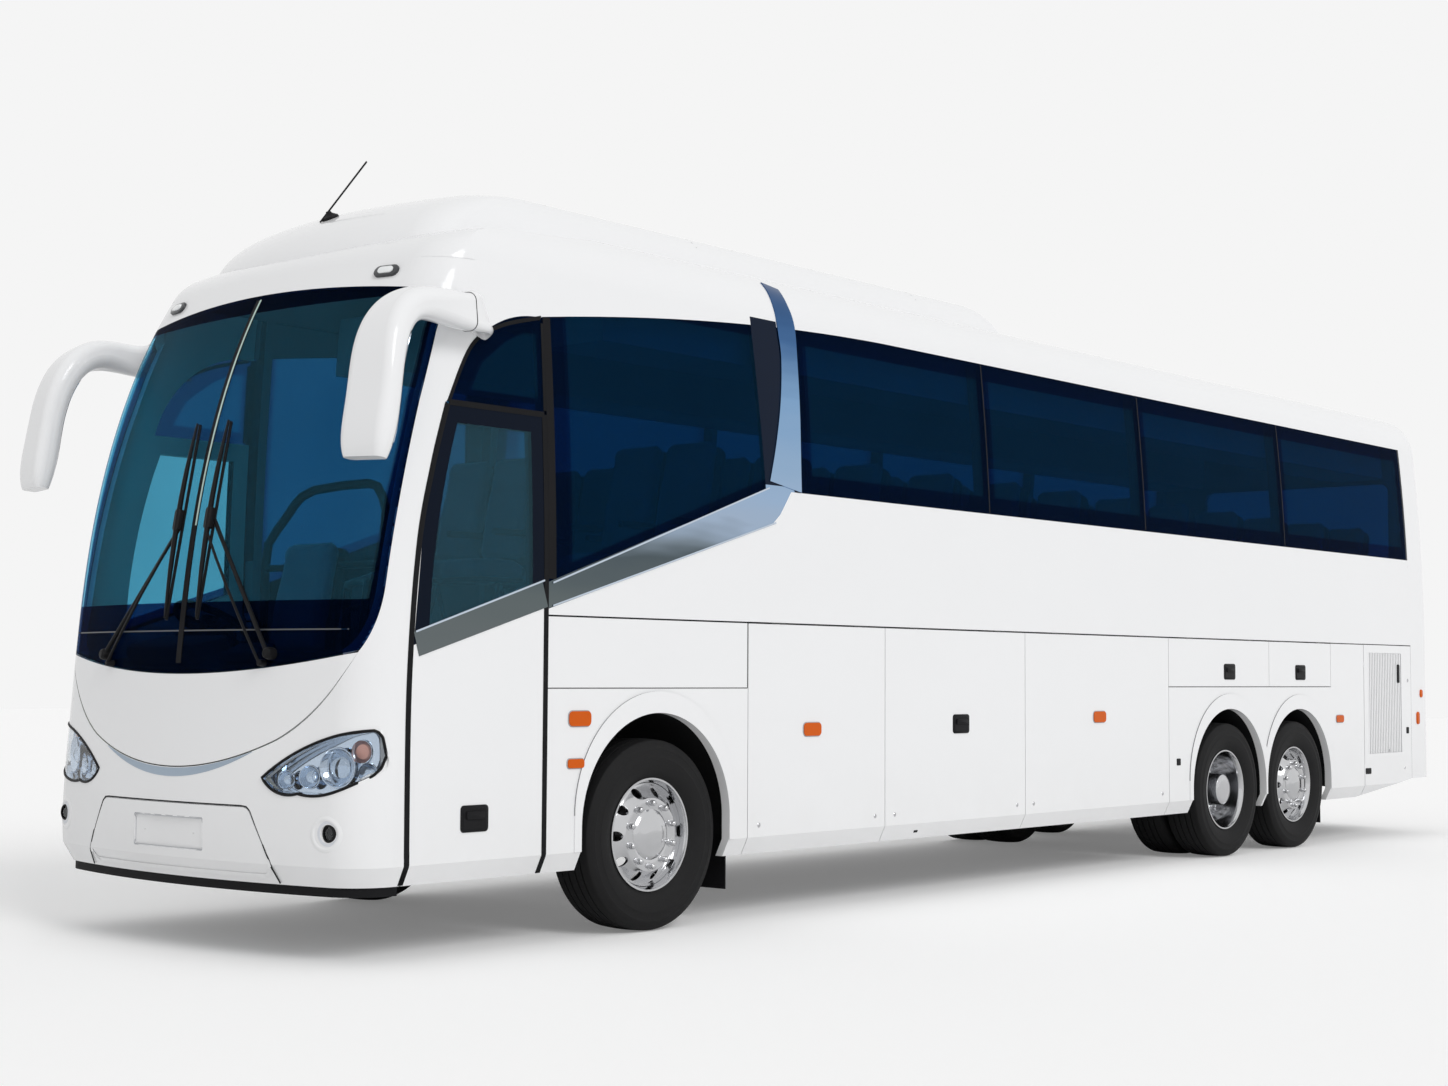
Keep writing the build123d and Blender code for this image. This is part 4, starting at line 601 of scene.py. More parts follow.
def smoothRoute(points, steps=8):       # points along a smooth line through the given ones
    route = []
    for index in range(len(points) - 1):
        p0, p1, p2, p3 = (Vector(points[min(max(index + k, 0), len(points) - 1)]) for k in (-1, 0, 1, 2))
        for step in range(steps):
            t = step / steps
            route.append(0.5 * ((2 * p1) + (p2 - p0) * t + (2 * p0 - 5 * p1 + 4 * p2 - p3) * t ** 2
                                + (3 * p1 - p0 - 3 * p2 + p3) * t ** 3))
    route.append(Vector(points[-1]))
    return route


def straight(start, end, count):
    return [Vector(start).lerp(Vector(end), k / count) for k in range(count + 1)]


def flipped(points):
    return [Vector((-p.x, p.y)) for p in points]


def addStrip(bm, route, width, thick, lay, proud=0.002):       # a flat strip along a route laid on a surface
    rows = []
    for index, point in enumerate(route):
        ahead = route[min(index + 1, len(route) - 1)] - route[max(index - 1, 0)]
        across = Vector((-ahead.y, ahead.x)).normalized()
        span = width[index] if isinstance(width, list) else width
        sides = [lay(*(point + across * span * k)) for k in (-0.5, 0.5)]
        if all(side[0] is not None for side in sides):
            rows.append([place + normal * proud for place, normal in sides] + [sides[0][1] + sides[1][1]])
    made = bmesh.ops.create_grid(bm, x_segments=1, y_segments=len(rows) - 1, size=1.0)["verts"]
    made.sort(key=lambda v: (round(v.co.y, 5), v.co.x))
    for number, (left, right, normal) in enumerate(rows):
        made[2 * number].co, made[2 * number + 1].co = left, right
    faces = unique(f for v in made for f in v.link_faces)
    bm.normal_update()
    if faces[0].normal.dot(rows[0][2]) < 0:
        bmesh.ops.reverse_faces(bm, faces=faces)
    bm.normal_update()
    bmesh.ops.solidify(bm, geom=faces, thickness=thick)


def addRod(bm, points, radius, sides=8):       # a round bar through points
    line = [Vector(p) for p in points]
    ring = None
    for index, point in enumerate(line):
        ahead = (line[min(index + 1, len(line) - 1)] - line[max(index - 1, 0)]).normalized()
        size = radius[index] if isinstance(radius, list) else radius
        ends = bmesh.ops.create_circle(bm, cap_ends=index in (0, len(line) - 1), segments=sides, radius=size,
                                       matrix=Matrix.Translation(point) @ turnTo(ahead))["verts"]
        ends = [v for v in ends if v.is_valid]
        if ring:
            around = [e for group in (ring, ends) for v in group for e in v.link_edges if e.other_vert(v) in group]
            bmesh.ops.bridge_loops(bm, edges=unique(around))
        ring = ends


skinLeft, skinRight = (treeOf(
    f"wall_{name}", "front_mask", "window_glass", "bright_trim", "bumper", f"engine_door_{name}",
    *allNodes(f"bay_door_{name}", "flap_"), *extra,
) for name, extra in (("left", ("entry_door", "entry_door_glass")), ("right", ())))
skinFront = treeOf("front_mask", "front_panel", "bumper", "windscreen", "roof", "headlights", "entry_door", "roof_pod")
skinTop = treeOf("roof", "roof_pod")
skinRear = treeOf("rear_wall", "rear_hatch", "tail_lamps", "rear_window")


def laySide(tree, station, z, side):    # a shut line lets the cast through, so its neighbours are tried
    around = ((1, 0), (-1, 0), (0, 1), (0, -1))
    ways = [(step * ds, step * dz) for step in outside["nearby"] for ds, dz in around]
    for ds, dz in ((0, 0), *ways):
        place, normal = onSide(tree, station + ds, z + dz, side)
        if place is not None and place.x * side > outside["wall"]:
            return Vector((place.x, at(station), z)), normal
    return None, None


def layLeft(station, z):
    return laySide(skinLeft, station, z, 1)


def layRight(station, z):
    return laySide(skinRight, station, z, -1)


def layFront(x, z):
    return onFront(skinFront, x, z)


# tyres with ribs and grooves
tyre = {
    "radius": 0.508, "steps": 120, "grooves": (0.072, 0.026, -0.026, -0.072), "grooveHalf": 0.0042,
    "grooveDepth": 0.013, "crown": 0.0045, "treadHalf": 0.114,
    "side": [       # along the axle and radius
        (0.104, 0.2865), (0.106, 0.300), (0.112, 0.310), (0.124, 0.326), (0.134, 0.345), (0.1425, 0.372),
        (0.1462, 0.398), (0.1475, 0.410), (0.1462, 0.413), (0.1462, 0.430), (0.1448, 0.446), (0.1448, 0.450),
        (0.1455, 0.452), (0.1420, 0.470), (0.1390, 0.474), (0.1345, 0.488), (0.1260, 0.4985), (0.1140, 0.5035),
    ],
    "rows": {"front": (2.19, (1.098,)), "drive": (8.68, (1.098, 0.773)), "tag": (9.85, (1.098,))},
}


def tyreProfile():
    tread = []
    for centre in tyre["grooves"]:
        for offset, deep in ((1.0, 0), (0.7, 1), (-0.7, 1), (-1.0, 0)):
            x = centre + offset * tyre["grooveHalf"]
            crown = tyre["radius"] - tyre["crown"] * (x / tyre["treadHalf"]) ** 2
            tread.append((x, crown - deep * tyre["grooveDepth"]))
    return tyre["side"] + tread + [(-x, r) for x, r in reversed(tyre["side"])]


def makeTyres():
    for name, (station, centres) in tyre["rows"].items():
        for sideName, side in bothSides:
            bm = bmesh.new()
            for centre in centres:
                addTurned(bm, tyreProfile(), (side * centre, at(station), body["hub"]), (side, 0, 0), tyre["steps"])
            piece = finishPiece(f"tread_{name}_{sideName}", bm, tyreRubber, None, f"{name}_wheel_{sideName}", 28)
            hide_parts(f"tyre_{name}_{sideName}")


makeTyres()
print("tyres ready")

# black seals and joint lines
seal = {
    "width": 0.032, "thick": 0.006, "rear": 1.336, "head": 2.666, "low": 0.372, "headFront": 0.695, "frameWidth": 0.02,
    "front": [(0.440, 0.372), (0.440, 1.30), (0.489, 1.95), (0.581, 2.35), (0.684, 2.66)],
    "frontTop": [(0.69, 2.668), (0.85, 2.96), (1.05, 3.085), (1.338, 3.165)],
    "foot": (0.352, 0.520), "above": [(1.342, 2.686), (1.342, 3.136)],
    "edge": [(1.378, 1.835), (1.378, 3.17)], "edgeWidth": 0.052,       # black edge in front of the first window
}


def doorFoot(shift):        # the leaf's slanting foot, cast a little beside the seal's own station
    def lay(station, z):
        place, normal = onSide(skinLeft, station + shift, z)
        return (place and Vector((place.x, at(station), z))), normal
    return lay


def makeSeals():
    bm = bmesh.new()
    width, thick, rear, head = (seal[key] for key in ("width", "thick", "rear", "head"))
    addStrip(bm, smoothRoute(seal["front"], 10), width, thick, layLeft)
    addStrip(bm, straight((rear, seal["low"]), (rear, head), 24), width, thick, layLeft)
    addStrip(bm, straight((seal["headFront"], head), (rear, head), 10), width * 0.9, thick, layLeft)
    for station, shift in ((seal["front"][0][0], 0.035), (rear, -0.035)):
        low, high = seal["foot"]
        addStrip(bm, straight((station, low), (station, high), 14), width, thick, doorFoot(shift))
    finishPiece("door_seal", bm, darkRubber, None, "door_leaf")
    bm = bmesh.new()
    for lay in (layLeft, layRight):
        addStrip(bm, smoothRoute(seal["frontTop"], 8), seal["frameWidth"], thick, lay)
        addStrip(bm, straight(*seal["above"], 9), seal["frameWidth"], thick, lay)
        addStrip(bm, straight(*seal["edge"], 20), seal["edgeWidth"], 0.005, lay, 0.0025)
    finishPiece("window_seal", bm, darkRubber)


makeSeals()

# bright band across the entry door and, on the other side, the driver's door
band = {"low": [(0.480, 1.433), (1.325, 1.690)], "high": [(0.480, 1.553), (1.325, 1.825)], "proud": 0.003}


def makeDoorBand():
    lows, highs = straight(*band["low"], 18), straight(*band["high"], 18)
    route = [(low + high) / 2 for low, high in zip(lows, highs)]
    widths = [(high - low).length for low, high in zip(lows, highs)]
    for lay, name, bodyName in ((layLeft, "door_band", "door_leaf"), (layRight, "cab_band", "body")):
        bm = bmesh.new()
        addStrip(bm, route, widths, 0.006, lay, band["proud"])
        finishPiece(name, bm, brightChrome, None, bodyName)


makeDoorBand()
print("seals and bands ready")

# windscreen: centre joint with its painted highlight, and the cowl joint
screen = {"joint": 0.040, "low": 1.40, "high": 3.27, "highlightLow": 2.05, "cowlHalf": 1.12, "cowlZ": 1.56}


def makeScreenDetail():
    line = straight((0, screen["low"]), (0, screen["high"]), 30)
    # a pale green strip beside the upper joint is a painted highlight on it
    bead = [point + Vector((screen["joint"] * 0.36, 0)) for point in line if point.y > screen["highlightLow"]]
    cowl = straight((-screen["cowlHalf"], screen["cowlZ"]), (screen["cowlHalf"], screen["cowlZ"]), 40)
    jointHighlight, cowlGrey = moulded("jointHighlight", (0.42, 0.55, 0.50), 0.3), moulded("cowlGrey", (0.07, 0.075, 0.08), 0.5)
    for name, route, width, thick, proud, material, slot in (
        ("screen_joint", line, screen["joint"], 0.006, 0.004, darkRubber, "rubber"),
        ("screen_joint_highlight", bead, 0.011, 0.003, 0.006, jointHighlight, "lens"),
        ("cowl_joint", cowl, 0.007, 0.003, 0.001, cowlGrey, "rubber"),
    ):
        bm = bmesh.new()
        addStrip(bm, route, width, thick, layFront, proud)
        finishPiece(name, bm, material, slot)


makeScreenDetail()
print("windscreen ready")

# handles and latches on the sides
handles = [     # station, height, width, rise and body
    (0.864, 0.658, 0.18, 0.13, "door_leaf"), (5.019, 1.058, 0.18, 0.12, "luggage_door_{}_2"),
    (8.646, 1.405, 0.18, 0.12, "drive_flap_{}"), (9.863, 1.405, 0.18, 0.12, "tag_flap_{}"),
]


def makeHandles():
    for number, (station, z, width, height, bodyName) in enumerate(handles):
        for sideName, side in bothSides[:1] if bodyName == "door_leaf" else bothSides:
            place, normal = onSide(skinLeft if side > 0 else skinRight, station, z, side)
            grip = place + normal * 0.012 + faceAxes(normal) @ Vector((0, height * 0.12, 0))
            bm = bmesh.new()
            plateOn(bm, place, normal, (width, height, 0.008), 0.02, 0.002, 0.005)
            plateOn(bm, place, normal, (width * 0.82, height * 0.74, 0.004), 0.014, 0.0, 0.0065)
            plateOn(bm, grip, normal, (width * 0.66, height * 0.3, 0.012), 0.012, 0.003, 0.004)
            finishPiece(f"handle_{number}_{sideName}", bm, blackPlastic, None, bodyName.format(sideName))


makeHandles()
print("handles ready")


# headlights: clear cover over a chrome bowl with its lamps
lamp = {
    "cover": 0.004, "backDepth": 0.075, "backInset": 0.03, "bead": 0.0075, "weld": 0.00005, "step": 0.009,
    "axis": (0.34, -0.94, 0), "sink": 0.012, "heart": (0.70, 0.85), "foot": 0.75, "outward": 0.35,
    "rounding": [       # station, height and outward direction of the cuts that round the lens's outer end
        (0.306, 1.050, 0.80, 0.60), (0.280, 1.082, 0.42, 0.91), (0.314, 0.99, 0.98, 0.20),
        (0.312, 0.960, 0.92, -0.39), (0.292, 0.915, 0.70, -0.71),
    ],
    "bowls": [      # x, station, height, radius, depth, kind
        (1.090, 0.165, 0.915, 0.088, 0.050, "main"), (0.935, 0.128, 0.868, 0.052, 0.040, "dome"),
        (0.800, 0.098, 0.852, 0.042, 0.036, "dome"), (1.185, 0.230, 0.990, 0.052, 0.030, "amber"),
        (1.205, 0.252, 0.890, 0.046, 0.030, "clear"),
    ],
    "bowl": [       # share of the depth and of the radius, and a little more along the axis
        (-1, 0.30, 0), (-0.8, 0.55, 0), (-0.45, 0.80, 0), (0, 1, 0), (0, 1.02, 0.003), (0, 1.08, 0.003),
        (0, 1.10, -0.004), (-0.5, 0.88, 0), (-1, 0.30, -0.003),
    ],
    "dome": [(-0.75, 0, 0), (-0.75, 0.52, 0), (-0.25, 0.50, 0), (0, 0.36, 0), (0, 0.18, 0.006), (0, 0, 0.008)],
    "amberDome": [(-0.6, 0, 0), (-0.6, 0.74, 0), (-0.15, 0.66, 0), (0, 0.3, 0.002), (0, 0, 0.003)],
}
fog = {
    "x": 1.088, "station": 0.141, "z": 0.613, "radius": 0.042, "lipShift": (-0.016, -0.004),
    "ring": [(0, 0), (0, 0.97), (0.016, 0.97), (0.016, 0.80), (0.006, 0.78), (0.004, 0)],
    "lens": [(0.006, 0), (0.006, 0.77), (0.010, 0.74), (0.016, 0.4), (0.018, 0)],
    "floor": [(-0.003, 0.0450), (0.0006, 0.0455), (0.0010, 0.059), (-0.001, 0.061), (-0.003, 0.059)],
    "lip": [(-0.006, 0.062), (0.001, 0.062), (0.0045, 0.069), (0.0040, 0.074), (0.0010, 0.084), (-0.006, 0.086)],
}


def lampGlass():
    sockets = {"Transmission Weight": 1.0, "Roughness": 0.02, "IOR": 1.25}
    material, tree, shader, place = newMaterial("lampGlass", **sockets)
    ripple = placeGroup(tree, fineRipple, Vector=place, Scale=30.0)
    tone = mixColour(tree, ripple.outputs["Mottle"], (0.93, 0.95, 0.97), (0.88, 0.91, 0.94))
    finishShader(tree, shader, tone, ripple.outputs["Height"], 0.06, 0.002)
    return material


lampChrome, lampCover = metal("lampChrome", (0.62, 0.70, 0.80), 0.08, 14, 0.002), lampGlass()


def outerFaces(name, keep):     # the outward faces of a CAD node, merged, as a new mesh
    bm = bmesh.new()
    bm.from_mesh(nodes[name].data)
    bmesh.ops.remove_doubles(bm, verts=bm.verts, dist=lamp["weld"])
    bm.normal_update()
    drop = [f for f in bm.faces if not keep(f.calc_center_median(), f.normal)]
    bmesh.ops.delete(bm, geom=drop, context="FACES")
    return bm


def cutAway(bm, place, normal, inner=False):    # keeps what lies behind a plane, or what lies in front of it
    bmesh.ops.bisect_plane(bm, geom=[*bm.verts, *bm.edges, *bm.faces], plane_co=place, plane_no=normal,
                           clear_outer=not inner, clear_inner=inner)


def facesOut(centre, normal, side):
    x, station = lamp["heart"]
    outward = Vector((centre.x - side * x, centre.y - at(station), 0)).normalized()
    return centre.z > lamp["foot"] and centre.x * side > 0 and normal.dot(outward) > lamp["outward"]


def lampFace(side, keepLens=True):      # the lens rounded at its outer end, or what the rounding leaves
    bm = outerFaces("headlights", lambda centre, normal: facesOut(centre, normal, side))
    cuts = [((0, at(station), z), (0, ns, nz)) for station, z, ns, nz in lamp["rounding"]]
    if keepLens:
        for cut in cuts:
            cutAway(bm, *cut)
        return bm
    done = bpy.data.meshes.new("lampEnds")
    ends = bmesh.new()
    for index, cut in enumerate(cuts):
        part = bm.copy()
        cutAway(part, *cut, inner=True)
        for before in cuts[:index]:
            cutAway(part, *before)
        part.to_mesh(done)
        part.free()
        ends.from_mesh(done)
    bm.free()
    bmesh.ops.remove_doubles(ends, verts=ends.verts, dist=lamp["weld"])
    return ends


def borderLoop(bm):     # the longest open edge of a mesh, as points at even steps
    left = {e for e in bm.edges if len(e.link_faces) == 1}
    loops = []
    for edge in [e for e in bm.edges if e in left]:     # in the mesh's order, so that each run starts alike
        if edge not in left:
            continue
        left.discard(edge)
        line = list(edge.verts)
        while ahead := next((e for e in line[-1].link_edges if e in left), None):
            left.discard(ahead)
            line.append(ahead.other_vert(line[-1]))
        loops.append([v.co.copy() for v in line])
    line = max(loops, key=lambda points: sum((a - b).length for a, b in zip(points, points[1:])))
    even = [line[0]]
    for point in line[1:]:
        if (point - even[-1]).length > lamp["step"]:
            even.append(point)
    return even + [line[0], even[1]]


def layTurned(bm, place, normal):       # bends a turned ring to the front's curve
    for vert in bm.verts:
        spot, out = onFront(skinFront, vert.co.x, vert.co.z)
        if spot:
            vert.co = spot + out * (vert.co - place).dot(normal)


def makeLampShell(sideName, side):
    bm = lampFace(side, keepLens=False)
    bmesh.ops.solidify(bm, geom=bm.faces, thickness=0.02)
    finishPiece(f"lamp_end_{sideName}", bm, whitePaint, sharp=60)
    bm = lampFace(side)
    loop = borderLoop(bm)
    bmesh.ops.solidify(bm, geom=bm.faces, thickness=lamp["cover"])
    cover = finishPiece(f"lamp_cover_{sideName}", bm, lampCover, "lens")
    if side > 0:
        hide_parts("headlights")
    back = (-side * lamp["backInset"], lamp["backDepth"], 0)
    bm = lampFace(side)
    bmesh.ops.translate(bm, vec=back, verts=bm.verts)
    bmesh.ops.solidify(bm, geom=bm.faces, thickness=0.003)
    finishPiece(f"lamp_back_{sideName}", bm, lampChrome, "chrome")
    bm = lampFace(side)     # the wall between the cover and the back
    made = bmesh.ops.extrude_edge_only(bm, edges=[e for e in bm.edges if len(e.link_faces) == 1])["geom"]
    walls = {part for part in made if isinstance(part, bmesh.types.BMFace)}
    bmesh.ops.translate(bm, vec=back, verts=[part for part in made if isinstance(part, bmesh.types.BMVert)])
    bmesh.ops.delete(bm, geom=[f for f in bm.faces if f not in walls], context="FACES")
    bmesh.ops.recalc_face_normals(bm, faces=bm.faces)
    bmesh.ops.solidify(bm, geom=bm.faces, thickness=0.006)
    finishPiece(f"lamp_rim_{sideName}", bm, lampChrome, "chrome", sharp=50)
    bm = bmesh.new()        # black bead round the lens
    addRod(bm, loop, lamp["bead"], 8)
    finishPiece(f"lamp_bead_{sideName}", bm, blackPlastic, sharp=60)


def makeLampBowls(sideName, side):
    axis = Vector((side * lamp["axis"][0], *lamp["axis"][1:]))
    for kind, material, slot, shape, steps, held in (
        ("chrome", lampChrome, "lens", "bowl", 40, ("main", "dome", "clear", "amber")),
        ("clear", lampCover, "lens", "dome", 32, ("main", "dome", "clear")),
        ("amber", reflectedTurnLens, "amber_lens", "amberDome", 32, ("amber",)),
    ):
        bm = bmesh.new()
        for x, station, z, radius, depth, name in lamp["bowls"]:
            if name in held:
                profile = [(depth * along + more, radius * out) for along, out, more in lamp[shape]]
                spot = Vector((side * x, at(station), z)) - axis * lamp["sink"]
                addTurned(bm, profile, spot, axis, steps, closed=kind == "chrome")
        finishPiece(f"lamp_{kind}_{sideName}", bm, material, slot)


def makeFogLamp(sideName, side, dishShade):
    x, z = fog["x"], fog["z"]
    spot = Vector((side * x, at(fog["station"]), z))
    for name, material, slot in (("ring", blackPlastic, None), ("lens", lampCover, "lens")):
        bm = bmesh.new()
        addTurned(bm, [(along, fog["radius"] * out) for along, out in fog[name]], spot, (0, -1, 0), 40)
        finishPiece(f"fog_{name}_{sideName}", bm, material, slot)
    # the dish floor is a grey ring of painted shade round the lamp; the lip is a raised white ring
    for name, (dx, dz), steps, material in (("floor", (0, 0), 48, dishShade), ("lip", fog["lipShift"], 56, whitePaint)):
        place, normal = onFront(skinFront, side * (x + dx), z + dz)
        bm = bmesh.new()
        addTurned(bm, fog[name], place, normal, steps, closed=True)
        layTurned(bm, place, normal)
        finishPiece(f"fog_{name}_{sideName}", bm, material, "white_paint")


def makeHeadlights():
    # grey for the painted shade in the fog lamps' dishes
    dishShade = moulded("dishShade", (0.60, 0.62, 0.66), 0.35, scale=40)
    for sideName, side in bothSides:
        makeLampShell(sideName, side)
        makeLampBowls(sideName, side)
        makeFogLamp(sideName, side, dishShade)


makeHeadlights()
print("headlights ready")

# polished wheels: a coned disc with hand holes, a raised seat for the nuts and a domed cap
wheel = {
    "nutCircle": 0.1675, "nutCount": 10, "nut": 0.0165, "nutLength": 0.034, "holeCount": 10, "hole": 0.0265,
    "holeDepth": 0.12, "wall": (0.012, 0.006), "hub": 1.098, "twinApart": 0.325,
    "rear": [(-0.117, 0.2765), (-0.117, 0.300), (-0.106, 0.300), (-0.106, 0.2865), (0.106, 0.2865), (0.106, 0.300)],
    "barrel": [(0.084, 0.2735), (0.0, 0.2735), (-0.100, 0.2745)],
    "twin": [(-0.117, 0.2735), (0.117, 0.2735), (0.117, 0.300), (0.106, 0.300), (0.106, 0.2865), (-0.106, 0.2865),
             (-0.106, 0.300), (-0.117, 0.300)],
    "faces": {"front": (0.117, 0.06, 0.228), "drive": (-0.1405, -0.15, 0.224)},     # nuts, holes and their ring
}
wheelProfiles = {       # along the axle from the tyre's centre, radius; outwards is positive
    "front": [(0.117, 0.300), (0.117, 0.290), (0.108, 0.2865), (0.096, 0.279), (0.070, 0.274), (0.056, 0.264),
              (0.058, 0.250), (0.072, 0.236), (0.094, 0.212), (0.110, 0.199), (0.116, 0.194), (0.117, 0.188),
              (0.117, 0.150), (0.115, 0.134), (0.124, 0.122), (0.131, 0.108), (0.131, 0.090), (0.136, 0.080),
              (0.143, 0.055), (0.146, 0.030), (0.147, 0.0)],
    "drive": [(0.117, 0.300), (0.117, 0.290), (0.108, 0.2865), (0.096, 0.279), (0.030, 0.274), (-0.020, 0.270),
              (-0.080, 0.264), (-0.118, 0.258), (-0.132, 0.246), (-0.1385, 0.228), (-0.1405, 0.200),
              (-0.1405, 0.150), (-0.138, 0.136), (-0.060, 0.128), (0.060, 0.118), (0.096, 0.112), (0.104, 0.102),
              (0.106, 0.080), (0.107, 0.0)],
}


def finalMesh(item):
    return bpy.data.meshes.new_from_object(item.evaluated_get(bpy.context.evaluated_depsgraph_get()))


def cutHoles(mesh, cutterMesh):     # takes the hand holes out of a wheel
    target = bpy.data.objects.new("cutTarget", mesh)
    cutter = bpy.data.objects.new("cutTool", cutterMesh)
    for item in (target, cutter):
        bpy.context.scene.collection.objects.link(item)
    modifier = target.modifiers.new("holes", "BOOLEAN")
    modifier.operation, modifier.solver, modifier.object = "DIFFERENCE", "EXACT", cutter
    bpy.context.view_layer.update()
    cut = finalMesh(target)
    for item in (target, cutter):
        bpy.data.objects.remove(item)
    return cut


def ringSpots(hub, side, along, radius, count, start=0.0):      # places on a circle round a hub
    turns = [2 * pi * (number + start) / count for number in range(count)]
    return [hub + Vector((side * along, cos(turn) * radius, sin(turn) * radius)) for turn in turns]


def meshFrom(name, bm):
    mesh = bpy.data.meshes.new(name)
    bm.to_mesh(mesh)
    bm.free()
    return mesh


def makeWheel(name, station, sideName, side):
    kind = "drive" if name == "drive" else "front"
    profile, (nutFace, holeFace, holeRing) = wheelProfiles[kind], wheel["faces"][kind]
    hub, axis = Vector((side * wheel["hub"], at(station), body["hub"])), (side, 0, 0)
    # thin shell: the outer line, then back a little way inside it
    along, inward = wheel["wall"]
    back = [(x - along, max(r - inward, 0)) for x, r in reversed(profile[2:])]
    bm = bmesh.new()
    addTurned(bm, profile + back[:-2] + wheel["barrel"] + wheel["rear"], hub, axis, 96, closed=True)
    shell = meshFrom("wheelShell", bm)
    bm = bmesh.new()
    for spot in ringSpots(hub, side, holeFace, holeRing, wheel["holeCount"]):
        bmesh.ops.create_cone(bm, cap_ends=True, segments=24, radius1=wheel["hole"], radius2=wheel["hole"],
                              depth=wheel["holeDepth"], matrix=Matrix.Translation(spot) @ turnTo(axis))
    cut = cutHoles(shell, meshFrom("holeTool", bm))
    bm = bmesh.new()
    bm.from_mesh(cut)
    nut, long = wheel["nut"], wheel["nutLength"]
    nutProfile = [(-0.002, 0.0), (-0.002, nut * 1.4), (0.003, nut * 1.4), (0.004, nut), (long - 0.008, nut * 0.92),
                  (long - 0.002, nut * 0.6), (long, 0.0)]
    for spot in ringSpots(hub, side, nutFace, wheel["nutCircle"], wheel["nutCount"], 0.5):
        addTurned(bm, nutProfile, spot, axis, 12)
    if name == "drive":     # the inner twin's rim
        addTurned(bm, [(x - wheel["twinApart"], r) for x, r in wheel["twin"]], hub, axis, 64, closed=True)
    piece = finishPiece(f"alloy_{name}_{sideName}", bm, polishedAlloy, None, f"{name}_wheel_{sideName}", 40)
    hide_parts(f"wheel_{name}_{sideName}")


def makeWheels():
    for name, (station, centres) in tyre["rows"].items():
        for sideName, side in bothSides:
            makeWheel(name, station, sideName, side)


makeWheels()
print("wheels ready")


# painted shadow under the front panel's lower lip, joint lines and window joints
joints = {
    "line": 0.005, "paneLine": 0.010, "panes": (5.38, 7.41, 9.65), "paneZ": (2.42, 3.39),
    "quarter": [((1.352, 1.650), (3.02, 1.650)), ((1.352, 1.285), (2.912, 1.285)), ((2.914, 1.285), (2.914, 1.650))],
}
lipShadow = {
    "half": 0.60, "drop": 0.040, "least": 0.002, "colour": (0.30, 0.37, 0.45), "foot": 0.887, "curve": (0.145, 0.75),
}


def panelEdgeZ(x):      # lower edge of the front panel
    rise, half = lipShadow["curve"]
    return lipShadow["foot"] + rise * (x / half) ** 2


bumperLines = {
    "cover": [(0.770, 0.366), (0.756, 0.425), (0.738, 0.472), (0.700, 0.545), (0.634, 0.660), (0.612, 0.700),
              (0.585, 0.720), (0.550, 0.7235)],
    "width": 0.006, "lowEnds": 3, "lowProud": 0.0018, "proud": -0.0003, "lips": (-0.014, 0.0, 0.014),
    "corner": (0.681, 0.456, 0.060), "foot": 0.396, "fillWidth": 0.019,
    "plate": [(0.279, 0.500), (0.279, 0.652)], "plateWidth": 0.008,
}


def layCover(x, z):     # the seam's groove is bridged from its two lips
    spots = [spot for spot in (onFront(skinFront, x, z + dz) for dz in bumperLines["lips"]) if spot[0]]
    if not spots:
        return None, None
    place, normal = min(spots, key=lambda spot: spot[0].y)
    return Vector((x, place.y, z)), normal


def makeBumperLines():
    points = [Vector(p) for p in bumperLines["cover"]]
    count = bumperLines["lowEnds"]      # the low ends lie on the filled seam
    low = [a.lerp(b, k / 5) for a, b in zip(points[:count], points[1:]) for k in range(5)] + [points[count]]
    half = points[count:]
    top = straight(half[-1], flipped(half)[-1], 24)[1:-1]
    bm = bmesh.new()
    for line, proud in ((low, bumperLines["lowProud"]), (half + top + flipped(reversed(half)), bumperLines["proud"]),
                        (flipped(low), bumperLines["lowProud"])):
        addStrip(bm, line, bumperLines["width"], 0.004, layCover, proud)
    finishPiece("cover_joint", bm, darkRubber)
    # the solid's seam runs on along the foot, where the cover has none
    x, z, radius = bumperLines["corner"]
    turn = [Vector((x + radius * cos(radians(a)), z + radius * sin(radians(a)))) for a in range(24, -91, -6)]
    foot = straight((x, bumperLines["foot"]), (-x, bumperLines["foot"]), 30)[1:-1]
    bm = bmesh.new()
    addStrip(bm, turn + foot + flipped(reversed(turn)), bumperLines["fillWidth"], 0.004, layCover, 0.0004)
    finishPiece("cover_foot", bm, whitePaint)
    # grey strips round the plate's recess: painted shade on its edges
    (x, low), (_, high) = bumperLines["plate"]
    corners = ((-x, low), (-x, high), (x, high), (x, low), (-x, low))
    bm = bmesh.new()
    for ends in zip(corners, corners[1:]):
        addStrip(bm, straight(*ends, 12), bumperLines["plateWidth"], 0.003, layCover, 0.0001)
    finishPiece("plate_edge_shade", bm, moulded("plateShadeGrey", (0.36, 0.37, 0.39), 0.5), "white_paint")


makeBumperLines()


